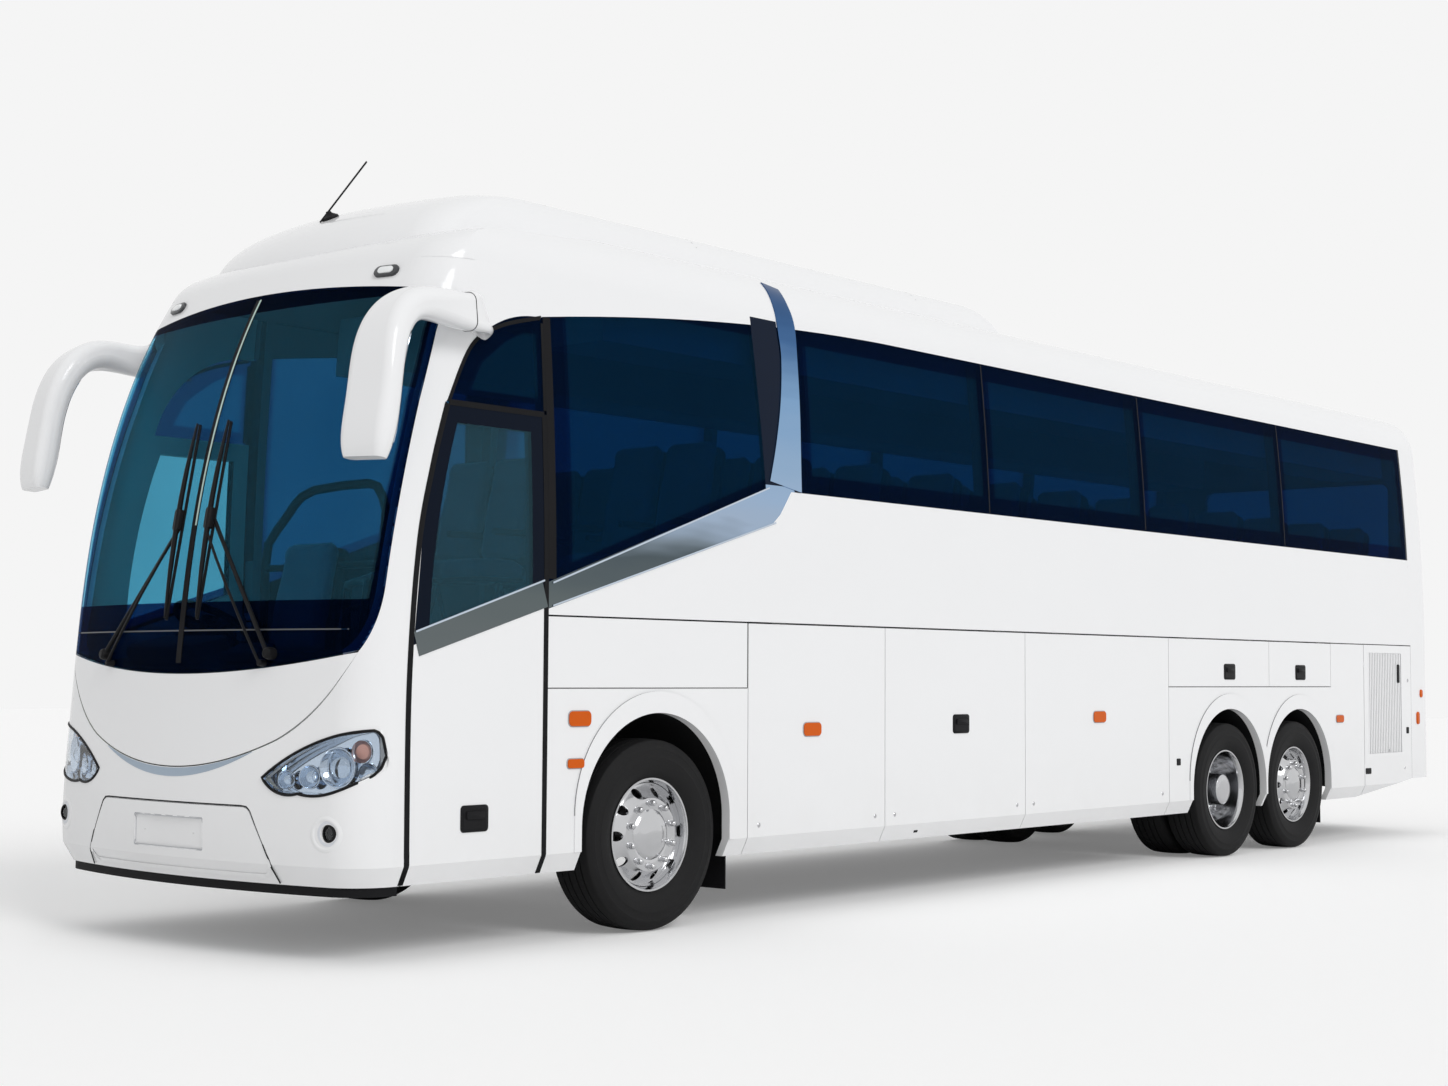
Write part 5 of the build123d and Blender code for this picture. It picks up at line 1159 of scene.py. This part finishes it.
def makeJoints():
    low, high = joints["paneZ"]
    panes = [((station, low), (station, high)) for station in joints["panes"]]
    for name, rows, count, width, thick, proud, material in (
        ("quarter_joints", joints["quarter"], 16, joints["line"], 0.003, 0.0006, darkRubber),
        ("pane_joints", panes, 14, joints["paneLine"], 0.004, 0.001, blackPlastic),
    ):
        bm = bmesh.new()
        for lay in (layLeft, layRight):
            for ends in rows:
                addStrip(bm, straight(*ends, count), width, thick, lay, proud)
        finishPiece(name, bm, material, "rubber")
    # a blue-grey strip of painted shadow under the panel's lip, widest in the middle
    route, widths = [], []
    for point in straight((-lipShadow["half"], 0), (lipShadow["half"], 0), 40):
        deep = lipShadow["least"] + lipShadow["drop"] * (1 - (point.x / lipShadow["half"]) ** 2)
        route.append(Vector((point.x, panelEdgeZ(point.x) - deep / 2)))
        widths.append(deep)
    bm = bmesh.new()
    addStrip(bm, route, widths, 0.003, layFront, 0.0012)
    finishPiece("panel_lip_shadow", bm, moulded("lipShadowPaint", lipShadow["colour"], 0.35, scale=40), "white_paint")


makeJoints()
print("joints ready")

# small fittings on the sides
fittings = {
    "black": [      # station, height, length, rise, thickness, corner and body
        (7.839, 0.741, 0.055, 0.050, 0.008, 0.008, "body"),
        (11.981, 0.908, 0.050, 0.055, 0.008, 0.006, "engine_side_door_{}"),
        (11.151, 0.575, 0.110, 0.050, 0.006, 0.010, "engine_side_door_{}"),
        (11.800, 1.404, 0.050, 0.160, 0.010, 0.012, "engine_side_door_{}"),
        (4.560, 0.405, 0.040, 0.016, 0.004, 0.004, "luggage_door_{}_2"),
    ],
    "lock": [(-0.004, 0), (-0.004, 1), (0.0015, 1), (0.003, 0.86), (0.003, 0.4), (0.0015, 0.34), (0.0015, 0)],
    "locks": {      # by body: station, height and radius
        "engine_side_door_{}": [(11.997, 1.345, 0.016), (11.603, 0.740, 0.014), (11.913, 0.581, 0.012)],
        "luggage_door_{}_1": [(3.02, 0.52, 0.013), (4.11, 0.52, 0.013)],
        "luggage_door_{}_2": [(4.31, 0.52, 0.013), (5.67, 0.52, 0.013)],
        "luggage_door_{}_3": [(5.87, 0.52, 0.013), (7.60, 0.52, 0.013)],
    },
}


def makeFittings():
    for (sideName, side), tree in zip(bothSides, (skinLeft, skinRight)):
        for number, (station, z, length, rise, thick, corner, rider) in enumerate(fittings["black"]):
            place, normal = laySide(tree, station, z, side)
            bm = bmesh.new()
            plateOn(bm, place, normal, (length, rise, thick), corner, 0.0015, thick * 0.6)
            plateOn(bm, place, normal, (length * 0.7, rise * 0.7, 0.003), corner * 0.6, 0.0, thick * 0.6 + 0.001)
            finishPiece(f"fitting_{number}_{sideName}", bm, blackPlastic, None, rider.format(sideName))
        for number, (rider, rows) in enumerate(fittings["locks"].items()):
            bm = bmesh.new()
            for station, z, radius in rows:
                lock = [(along, radius * share) for along, share in fittings["lock"]]
                addTurned(bm, lock, *laySide(tree, station, z, side), 24)
            finishPiece(f"locks_{number}_{sideName}", bm, polishedAlloy, "steel", rider.format(sideName))


makeFittings()
print("fittings ready")

# clearance lamps, rear side lamps and rims round the markers
lampRows = {
    "front": (0.865, 3.335, 0.150, 0.066), "rearSide": [(12.283, 1.230, 0.050, 0.070), (12.207, 1.013, 0.060, 0.110)],
    "markers": [(1.581, 1.130, 0.157, 0.076), (1.554, 0.903, 0.116, 0.046), (3.496, 1.047, 0.159, 0.075),
                (6.716, 1.083, 0.160, 0.075), (10.592, 1.025, 0.136, 0.058)],
    "rim": 0.010, "lensShare": (0.62, 0.60),
}


def makeSmallLamps():
    rims, lenses, rears = bmesh.new(), bmesh.new(), bmesh.new()
    x, z, length, rise = lampRows["front"]
    for sideName, side in bothSides:
        place, normal = onFront(skinFront, side * x, z)
        plateOn(rims, place, normal, (length, rise, 0.022), rise * 0.48, 0.004, 0.014)
        across, up = lampRows["lensShare"]
        plateOn(lenses, place, normal, (length * across, rise * up, 0.012), rise * 0.28, 0.003, 0.021)
        for station, height, long, tall in lampRows["rearSide"]:
            place, normal = onSide(skinRear, station, height, side)
            plateOn(rears, place, normal, (long, tall, 0.016), min(long, tall) * 0.45, 0.004, 0.011)
    finishPiece("clearance_rims", rims, moulded("lampGrey", (0.03, 0.032, 0.036), 0.3), "dash_plastic")
    finishPiece("clearance_lenses", lenses, clearLens)
    finishPiece("rear_side_lamps", rears, amberLens)
    rimGrey = moulded("rimGrey", (0.35, 0.36, 0.37), 0.4)
    for sideName, side in bothSides:
        for number, (station, z, length, rise) in enumerate(lampRows["markers"]):
            size = (length + lampRows["rim"], rise + lampRows["rim"], 0.005)
            bm = bmesh.new()
            plateOn(bm, (side * body["half"], at(station), z), (side, 0, 0), size, rise / 3 + 0.004, 0.0015, 0.0035)
            finishPiece(f"marker_rim_{number}_{sideName}", bm, rimGrey, "dash_plastic")


makeSmallLamps()
print("lamps ready")

# roof: hatches, pod joints, a painted shadow line along the pod's edge, and the aerial's foot
roofThings = {
    "hatches": [8.2, 10.8], "hatchSize": (0.86, 0.72, 0.045), "podJoints": (3.0, 5.2), "jointHalf": 0.80,
    "aerial": (0.0, 0.95), "podEdge": (1.5, 6.3), "edgeShadowRod": 0.003, "edgeStart": 1.20, "edgeStep": 0.01,
    "aerialFoot": [(-0.02, 0.0), (-0.02, 0.046), (0.0, 0.048), (0.012, 0.044), (0.020, 0.030), (0.028, 0.018),
                   (0.040, 0.012), (0.042, 0)],
}


def podEdge(side, podTree, roofTree):       # where the pod comes out of the roof
    edge = []
    first, last = roofThings["podEdge"]
    for k in range(61):
        station = first + (last - first) * k / 60
        for step in range(60):      # inwards until the pod stands above the roof
            x = side * (roofThings["edgeStart"] - step * roofThings["edgeStep"])
            pod, roof = onTop(podTree, x, station)[0], onTop(roofTree, x, station)[0]
            if pod and roof and pod.z > roof.z:
                edge.append(roof + Vector((0, 0, 0.001)))
                break
    return edge


def makeRoofThings():
    bm = bmesh.new()
    width, long, thick = roofThings["hatchSize"]
    for station in roofThings["hatches"]:
        place, normal = onTop(skinTop, 0, station)
        plateOn(bm, place, normal, (width, long, thick), 0.09, 0.015, thick - 0.004, (0, 1, 0))
        plateOn(bm, place, normal, (width * 0.8, long * 0.78, thick), 0.06, 0.01, thick + 0.004, (0, 1, 0))
    finishPiece("roof_hatches", bm, whitePaint)
    bm = bmesh.new()
    half = roofThings["jointHalf"]
    for station in roofThings["podJoints"]:
        route = straight((-half, station), (half, station), 40)
        addStrip(bm, route, 0.006, 0.003, lambda x, place: onTop(skinTop, x, place), 0.0008)
    podTree, roofTree = treeOf("roof_pod"), treeOf("roof")
    # grey rods where the pod comes out of the roof: a painted shadow line
    for sideName, side in bothSides:
        addRod(bm, podEdge(side, podTree, roofTree), roofThings["edgeShadowRod"], 6)
    finishPiece("pod_joints_and_shadow", bm, moulded("jointAndShadowGrey", (0.35, 0.36, 0.37), 0.6), "rubber")
    bm = bmesh.new()
    addTurned(bm, roofThings["aerialFoot"], *onTop(skinTop, *roofThings["aerial"]), 32)
    finishPiece("aerial_foot", bm, blackPlastic)


makeRoofThings()
print("roof ready")

# mirror glass in a dark frame on the back of each head, and a seam in each arm
mirror = {
    "x": 1.370, "station": 2.2, "z": (2.40, 2.93), "half": 0.100, "lean": (2.66, 0.06),
    "seam": (1.325, 0.735, 3.10), "seamTurn": (0.30, 0.95), "seamRod": 0.0028,
}


def makeMirrorPlate(name, grow, proud, material, slot, tree, side):
    low, high = mirror["z"][0] - grow, mirror["z"][1] + grow
    middle, lean = mirror["lean"]
    missed = []
    bm = bmesh.new()
    for vert in bmesh.ops.create_grid(bm, x_segments=10, y_segments=24, size=1.0)["verts"]:
        u, v = vert.co.x, vert.co.y
        u, v = u * sqrt(1 - v ** 8 * 0.10), v * sqrt(1 - u ** 8 * 0.04)
        z = (low + high) / 2 + v * (high - low) / 2
        x = side * (mirror["x"] + u * (mirror["half"] + grow) - (z - middle) * lean)
        place, normal = cast(tree, (x, at(mirror["station"]), z), (0, -1, 0))
        if place is None:
            missed.append(vert)
        else:
            vert.co = place + normal * proud
    bmesh.ops.delete(bm, geom=missed, context="VERTS")
    bmesh.ops.recalc_face_normals(bm, faces=bm.faces)
    bm.normal_update()
    if sum(f.normal.y for f in bm.faces) < 0:
        bmesh.ops.reverse_faces(bm, faces=bm.faces)
        bm.normal_update()
    bmesh.ops.solidify(bm, geom=bm.faces, thickness=0.004)
    finishPiece(name, bm, material, slot)


def makeMirrorGlass():
    tree = treeOf("mirrors")
    for sideName, side in bothSides:
        makeMirrorPlate(f"mirror_frame_{sideName}", 0.012, 0.0015, blackPlastic, None, tree, side)
        makeMirrorPlate(f"mirror_glass_{sideName}", 0.0, 0.0035, lampChrome, "chrome", tree, side)


def makeArmSeams():
    bm = bmesh.new()
    x, station, z = mirror["seam"]
    across, along = mirror["seamTurn"]
    for sideName, side in bothSides:
        cut = outerFaces("mirrors", lambda centre, normal: centre.x * side > 0)
        cutAway(cut, (side * x, at(station), z), (side * across, -along, 0))
        addRod(bm, borderLoop(cut), mirror["seamRod"], 6)
        cut.free()
    finishPiece("arm_seams", bm, darkRubber)


makeMirrorGlass()
makeArmSeams()
print("mirrors ready")


# padded seats: blocks swelled by a short cloth run, seamed, then set out in rows
seat = {
    "rows": 12, "first": 2.35, "pitch": 0.79, "places": (0.510, 0.920), "floor": 1.60, "lean": 0.184,
    "cushion": (0.375, 0.395, 0.105), "back": (0.375, 0.070, 0.66), "headNarrow": 0.13, "voxel": 0.030,
    "pressure": 4.0, "stiffness": 12, "frames": 20, "cap": 0.014, "fill": 0.8,
    "cushionSeams": (0.09,), "backSeams": (0.12, -0.13), "seamDepth": 0.007, "seamWidth": 0.022,
    "wing": 0.022, "wingStart": 0.62, "wingSpan": 0.38, "wingHeight": (-0.08, 0.30),
    "cushionAt": (0.195, 0.375), "backAt": (0.372, 0.44), "shellAt": (0.432, 0.40), "panAt": (0.20, 0.315),
    "legs": (0.42, 0.98), "legFeet": (0.16, 0.36), "arms": (0.312, 0.715, 1.118), "middle": 0.26,
    "driver": (-0.56, 0.83, 1.00, 1.20),        # x, station, floor and width
    "pedestal": [(0, 0), (0, 0.20), (0.03, 0.19), (0.05, 0.09), (0.27, 0.08), (0.30, 0.16), (0.30, 0)],
}


def swellByCloth(pad):
    cloth = pad.modifiers.new("swell", "CLOTH")
    cloth.settings.use_pressure = True
    cloth.settings.uniform_pressure_force = seat["pressure"]
    cloth.settings.effector_weights.gravity = 0
    cloth.settings.tension_stiffness = seat["stiffness"]
    cloth.settings.compression_stiffness = seat["stiffness"]
    for moment in range(1, seat["frames"] + 1):
        bpy.context.scene.frame_set(moment)
    swelled = pad.evaluated_get(bpy.context.evaluated_depsgraph_get()).to_mesh()
    for vert, later in zip(pad.data.vertices, swelled.vertices):
        step = later.co - vert.co
        vert.co += step * min(1.0, seat["cap"] / max(step.length, 0.0001))
    pad.modifiers.clear()
    bpy.context.scene.frame_set(1)


def swellPad(name, size, narrow, seams):
    bm = bmesh.new()
    bmesh.ops.create_cube(bm, size=1.0)
    bmesh.ops.scale(bm, vec=size, verts=bm.verts)
    bmesh.ops.bevel(bm, geom=bm.edges[:], offset=min(size) * 0.32, segments=3, profile=0.5, affect="EDGES", material=-1)
    pad = bpy.data.objects.new(name, meshFrom(name, bm))
    bpy.context.scene.collection.objects.link(pad)
    grid = pad.modifiers.new("grid", "REMESH")
    grid.mode, grid.voxel_size = "VOXEL", seat["voxel"]
    pad.data = finalMesh(pad)
    pad.modifiers.clear()
    for vert in pad.data.vertices:      # backs narrow towards the headrest
        lift = max(0.0, vert.co.z / size[2] + 0.1)
        vert.co.x *= 1 - narrow * lift ** 1.6
    rest = [vert.co.copy() for vert in pad.data.vertices]
    swellByCloth(pad)
    long = 2 if size[2] > size[1] else 1
    wingZ, wingReach = seat["wingHeight"]
    for vert, start in zip(pad.data.vertices, rest):
        for seam in seams:      # sewn channels across the pad
            near = max(0.0, 1 - abs(start[long] - seam) / seat["seamWidth"])
            vert.co[3 - long] *= 1 - near * seat["seamDepth"] * 2 / size[3 - long]
        if long == 2 and start.y < 0:       # side wings of the back
            wing = max(0.0, abs(start.x) / (size[0] / 2) - seat["wingStart"]) / seat["wingSpan"]
            vert.co.y -= seat["wing"] * wing * max(0.0, 1 - abs(start.z - wingZ) / wingReach)
    done = pad.data
    bpy.data.objects.remove(pad)
    return done


def moved(x, y, z, tilt=0.0, axis="X"):
    return Matrix.Translation((x, y, z)) @ Matrix.Rotation(tilt, 4, axis)


def setPads(bm, cushion, back, x, station, floor, wide):
    for mesh, (behind, up), tilt, lift in (
        (cushion, seat["cushionAt"], 0.0, 0.0), (back, seat["backAt"], -seat["lean"], seat["back"][2] / 2),
    ):
        matrix = moved(x, at(station + behind), floor + up, tilt) @ Matrix.Translation((0, 0, lift))
        copy = mesh.copy()
        copy.transform(matrix @ Matrix.Diagonal((wide, 1, 1, 1)))
        bm.from_mesh(copy)


def setShell(bm, x, station, floor, wide):
    behind, up = seat["shellAt"]
    lean = moved(x, at(station + behind), floor + up, pi / 2 - seat["lean"])
    addPlate(bm, (0.385 * wide, 0.66, 0.030), lean @ Matrix.Translation((0, 0.33, 0)), 0.07, 0.01)
    behind, up = seat["panAt"]
    addPlate(bm, (0.37 * wide, 0.38, 0.03), moved(x, at(station + behind), floor + up), 0.03, 0.008)


def finishSeats(padsName, pads, frameName, frame):
    piece = finishPiece(padsName, pads, seatFabric, sharp=70)
    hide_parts("seats")
    finishPiece(frameName, frame, blackPlastic)


def makeSeats():
    cushion = swellPad("cushionPad", seat["cushion"], 0.0, seat["cushionSeams"])
    back = swellPad("backPad", seat["back"], seat["headNarrow"], seat["backSeams"])
    floor = seat["floor"]
    for sideName, side in bothSides:
        pads, frame = bmesh.new(), bmesh.new()
        for row in range(seat["rows"]):
            station = seat["first"] + row * seat["pitch"]
            for place in seat["places"]:
                setPads(pads, cushion, back, side * place, station, floor, 1)
                setShell(frame, side * place, station, floor, 1)
            middle = at(station + seat["middle"])
            for x in seat["legs"]:
                for ds in seat["legFeet"]:
                    addRod(frame, [(side * x, at(station + ds), floor), (side * x, middle, floor + 0.30)], 0.016)
            for x in seat["arms"]:
                addPlate(frame, (0.04, 0.30, 0.032), moved(side * x, middle, floor + 0.60, pi / 2, "Y"), 0.015, 0.006)
        finishSeats(f"seat_pads_{sideName}", pads, f"seat_frames_{sideName}", frame)
    x, station, floor, wide = seat["driver"]
    pads, frame = bmesh.new(), bmesh.new()
    setPads(pads, cushion, back, x, station, floor, wide)
    setShell(frame, x, station, floor, wide)
    addTurned(frame, seat["pedestal"], (x, at(station + seat["panAt"][0]), floor), (0, 0, 1), 32)
    finishSeats("driver_pads", pads, "driver_frame", frame)


makeSeats()
print("seats ready")

# driver's place: rim, spokes, instruments, a hood over them, and a rail beside the entry
# A plate of the dash top has its size, its place, its tilt in degrees, and the radii of its corners and edges.
cab = {
    "guardStation": 1.36, "guardRail": 1.95, "guard": [
        (-1.06, 1.20), (-1.045, 1.95), (-1.02, 2.09), (-0.94, 2.17), (-0.85, 2.245), (-0.78, 2.31), (-0.72, 2.350),
        (-0.61, 2.381), (-0.37, 2.394), (-0.14, 2.395), (-0.07, 2.375), (-0.02, 2.31), (0.005, 2.24), (0.0, 2.10),
        (0.0, 1.95), (0.0, 1.20),
    ],
    "guardTube": 0.026, "guardBar": 0.02,
    "centre": (-0.56, 0.65, 1.60), "tilt": 30, "raised": 0.012, "ring": 0.209, "tube": 0.021, "spokes": (90, 210, 330),
    "spoke": [(0.05, 0, 0.017), (0.13, 0.004, 0.013), (0.205, 0, 0.012)],      # out, down, radius
    "boss": [(-0.03, 0), (-0.03, 0.062), (0.0, 0.075), (0.022, 0.068), (0.03, 0.045), (0.03, 0)],
    "dial": [(0, 0.0), (0, 0.062), (0.006, 0.064), (0.009, 0.058), (0.004, 0.054), (0.004, 0)],
    "rail": [(0.93, 0.42, 1.38), (0.93, 0.46, 1.72), (0.86, 0.52, 1.80), (0.58, 0.66, 1.80), (0.47, 0.72, 1.74),
             (0.44, 0.74, 1.30)],
    "railTube": 0.022, "barTube": 0.014, "barFromRail": (-0.05, 0.02, -0.13),
    "top": [((0.62, 0.30, 0.10), (-0.56, 0.44, 1.475), 12, 0.09, 0.03),
            ((0.30, 0.22, 0.06), (-0.10, 0.52, 1.44), 24, 0.03, 0.012),
            ((0.90, 0.24, 0.05), (0.42, 0.40, 1.435), 0, 0.06, 0.018)],
    "panel": (0.585, 1.505, 62), "panelSize": (0.54, 0.15, 0.02), "dials": (-0.16, 0.0, 0.16), "dialLift": 0.012,
}


def makeCab():
    x, station, z = cab["centre"]
    tilt, ring, tube = radians(cab["tilt"]), cab["ring"], cab["tube"]
    axis = Vector((0, sin(tilt), cos(tilt)))
    centre = Vector((x, at(station), z)) + axis * cab["raised"]
    bm = bmesh.new()
    turns = [2 * pi * k / 12 for k in range(13)]
    addTurned(bm, [(tube * sin(turn), ring + tube * cos(turn)) for turn in turns], centre, axis, 56)
    addTurned(bm, cab["boss"], centre, axis, 32)
    lateral = Vector((1, 0, 0))
    forward = axis.cross(lateral)
    for angle in cab["spokes"]:
        out = lateral * cos(radians(angle)) + forward * sin(radians(angle))
        spoke = [centre + out * along - axis * down for along, down, radius in cab["spoke"]]
        addRod(bm, spoke, [radius for along, down, radius in cab["spoke"]], 10)
    finishPiece("steering_rim", bm, blackPlastic)
    bm = bmesh.new()
    for size, (px, ps, pz), lean, corner, edge in cab["top"]:
        addPlate(bm, size, moved(px, at(ps), pz, radians(lean)), corner, edge)
    finishPiece("dash_top", bm, cabPlastic)
    bm = bmesh.new()
    station, z, lean = cab["panel"]
    face = moved(x, at(station), z, radians(lean))
    for dx in cab["dials"]:
        addTurned(bm, cab["dial"], face @ Vector((dx, 0, cab["dialLift"])), face.to_3x3() @ Vector((0, 0, 1)), 32)
    addPlate(bm, cab["panelSize"], face, 0.05, 0.008)
    finishPiece("instruments", bm, blackPlastic)
    bm = bmesh.new()
    addRod(bm, [(px, at(ps), pz) for px, ps, pz in smoothRoute(cab["rail"], 7)], cab["railTube"], 12)
    dx, ds, dz = cab["barFromRail"]
    bar = [(px + dx, at(ps + ds), pz + dz) for px, ps, pz in smoothRoute(cab["rail"][1:5], 7)]
    addRod(bm, bar, cab["barTube"], 12)
    finishPiece("entry_rail", bm, blackPlastic)
    bm = bmesh.new()
    arch = [(px, at(cab["guardStation"]), pz) for px, pz in cab["guard"]]
    addRod(bm, arch, cab["guardTube"], 12)
    addRod(bm, [point for point in arch if point[2] == cab["guardRail"]], cab["guardBar"], 12)
    finishPiece("driver_guard", bm, blackPlastic)


makeCab()
print("cab ready")

# second rods and joints of the wipers, and caps over their spindles
wiper = {
    "rows": [(-0.674, 1.442, -0.095), (0.680, 1.444, 0.160)], "mid": 2.109, "out": 0.034, "rod": 0.007, "apart": 0.050,
    "drop": 0.045, "shares": (0.0, 0.25, 0.5, 0.75, 0.97), "blade": (1.62, 2.60),
    "bladeRadii": [0.006, 0.009, 0.012, 0.013, 0.014, 0.013, 0.012, 0.009, 0.006],
    "cap": [(0.0, 0.0), (0.0, 0.030), (0.030, 0.030), (0.046, 0.026), (0.054, 0.016), (0.054, 0.0)],
    "smallCap": [(0, 0), (0, 0.018), (0.036, 0.016), (0.042, 0.010), (0.042, 0)],
}


def makeWiperParts():
    bm = bmesh.new()
    for pivotX, pivotZ, headX in wiper["rows"]:
        inward = 1 if pivotX < 0 else -1
        points = []
        for share in wiper["shares"]:
            x = pivotX + (headX - pivotX) * share + inward * wiper["apart"] * (1 - share * 0.4)
            z = pivotZ + (wiper["mid"] - pivotZ) * share - wiper["drop"] * (1 - share * 0.3)
            place, normal = onFront(skinFront, x, z)
            points.append(place + normal * (wiper["out"] + 0.003))
        addRod(bm, points, wiper["rod"], 8)
        place, normal = onFront(skinFront, pivotX, pivotZ)
        addTurned(bm, wiper["cap"], place, normal, 24)
        addTurned(bm, wiper["smallCap"], points[0] - normal * 0.037, normal, 20)
        blade = [onFront(skinFront, *spot) for spot in straight(*((headX, z) for z in wiper["blade"]), 8)]
        addRod(bm, [spot + out * (wiper["out"] + 0.007) for spot, out in blade], wiper["bladeRadii"], 10)
        place, normal = onFront(skinFront, headX, wiper["mid"])
        plateOn(bm, place, normal, (0.05, 0.11, 0.022), 0.015, 0.004, wiper["out"] + 0.016)
    finishPiece("wiper_rods", bm, blackPlastic)


makeWiperParts()
print("wipers ready")

# rear: high brake light, louvres with a hatch handle, and a plate with its two lamps
louvres = {"count": 7, "low": 0.80, "pitch": 0.052, "width": 1.30}
rearThings = {      # x, height, size, corner, edge and how proud
    "high_brake_light": (redLens, "body", [(0, 3.38, (0.42, 0.035, 0.014), 0.012, 0.0015, 0.002)]),
    "hatch_louvres": (blackPlastic, "engine_hatch", [
        (0, louvres["low"] + (louvres["count"] - 1) * louvres["pitch"] / 2,
         (louvres["width"] + 0.04, louvres["count"] * louvres["pitch"] + 0.02, 0.004), 0.03, 0.0, 0.0006),
        *((0, louvres["low"] + number * louvres["pitch"], (louvres["width"], 0.036, 0.006), 0.003, 0.001, 0.0019)
          for number in range(louvres["count"])),
        (0, 1.62, (0.16, 0.045, 0.014), 0.015, 0.001, 0.0019),
    ]),
    "rear_plate": (whitePaint, "engine_hatch", [
        (0, 1.43, (0.54, 0.13, 0.008), 0.012, 0.001, 0.0019),
        *((x, 1.535, (0.07, 0.03, 0.03), 0.01, 0.001, 0.0019) for x in (-0.28, 0.28)),
    ]),
}


def makeRearThings():
    for name, (material, bodyName, plates) in rearThings.items():
        bm = bmesh.new()
        for x, z, *shape in plates:
            plateOn(bm, *onRear(skinRear, x, z), *shape)
        finishPiece(name, bm, material, None, bodyName)


makeRearThings()
print("rear ready")

# the bright pillar's head, carried on over the roof's flank, and fine lips along the band
pillar = {
    "route": [      # station and height along the middle, and the width there
        (3.2665, 2.436, 0.289), (3.3025, 2.656, 0.227), (3.338, 2.920, 0.176), (3.3545, 3.188, 0.149),
        (3.3475, 3.356, 0.163), (3.330, 3.500, 0.145), (3.334, 3.580, 0.132), (3.345, 3.632, 0.122),
    ],
    "proud": 0.006, "lip": [((1.381, 1.816), (3.118, 2.420)), ((1.381, 1.700), (3.17, 2.224))],
    "doorLip": ((0.475, 1.552), (1.322, 1.826)),
}


def makeTrimParts():
    flank = treeOf("roof", "wall_left", "wall_right", "bright_trim", "window_glass")
    bm = bmesh.new()
    rows = smoothRoute(pillar["route"], 6)
    for sideName, side in bothSides:
        addStrip(bm, [row.xy for row in rows], [row.z for row in rows], 0.007,
                 lambda station, z: laySide(flank, station, z, side), pillar["proud"])
    finishPiece("pillar_cover", bm, brightChrome)
    for name, rider, rows, lays in (("band_lips", "body", pillar["lip"], (layLeft, layRight)),
                                    ("door_lip", "door_leaf", [pillar["doorLip"]], (layLeft,))):
        bm = bmesh.new()
        for lay in lays:
            for ends in rows:
                addStrip(bm, straight(*ends, 20), 0.009, 0.004, lay, 0.0045)
        finishPiece(name, bm, lampChrome, "chrome", rider)


makeTrimParts()
print("trim ready")


# floor, backdrop and light
studio = {
    "floorColour": (0.905, 0.905, 0.905), "floorLift": 0.165, "skyColour": (0.913, 0.913, 0.913),
    "skyStrength": (0.32, 0.68), "sunPlace": (16, -3, 13), "sunTarget": (0, 0, 1), "sunEnergy": 1.05, "sunSpread": 25,
}


def makeFloor():
    bm = bmesh.new()
    bmesh.ops.create_grid(bm, x_segments=1, y_segments=1, size=60)
    floor = bpy.data.objects.new("studioFloor", meshFrom("studioFloor", bm))
    bpy.context.scene.collection.objects.link(floor)
    material, tree, shader, place = newMaterial("floorFinish", **{"Roughness": 0.9, "Emission Strength": 1.0})
    speck = addNode(tree, "ShaderNodeTexNoise", {"Vector": place, "Scale": 3.0})
    tone = mixColour(tree, speck.outputs["Fac"], studio["floorColour"], shade(studio["floorColour"], 0.995))
    tree.links.new(tone, shader.inputs["Base Color"])
    seen = addNode(tree, "ShaderNodeLightPath").outputs["Is Camera Ray"]
    tree.links.new(mixColour(tree, seen, (0, 0, 0), (studio["floorLift"],) * 3), shader.inputs["Emission Color"])
    floor.data.materials.append(material)


def makeWorld():
    world = bpy.data.worlds.new("studioWorld")
    bpy.context.scene.world = world
    world.use_nodes = True
    sky = world.node_tree
    paths = addNode(sky, "ShaderNodeLightPath")
    seen = anyOf(sky, *(paths.outputs[f"Is {kind} Ray"] for kind in ("Camera", "Glossy", "Transmission")))
    backdrop = sky.nodes["Background"]
    backdrop.inputs["Color"].default_value = (*studio["skyColour"], 1)
    sky.links.new(sloped(sky, seen, studio["skyStrength"]), backdrop.inputs["Strength"])


def makeSun():
    sun = bpy.data.lights.new("keySun", "SUN")
    sun.energy, sun.angle = studio["sunEnergy"], radians(studio["sunSpread"])
    holder = bpy.data.objects.new("keySun", sun)
    place = Vector(studio["sunPlace"])
    aim = (Vector(studio["sunTarget"]) - place).to_track_quat("-Z", "Y")
    holder.matrix_world = Matrix.Translation(place) @ aim.to_matrix().to_4x4()
    bpy.context.scene.collection.objects.link(holder)


makeFloor()
makeWorld()
makeSun()
print("stage and light ready")

bpy.context.scene.view_settings.view_transform = "Standard"
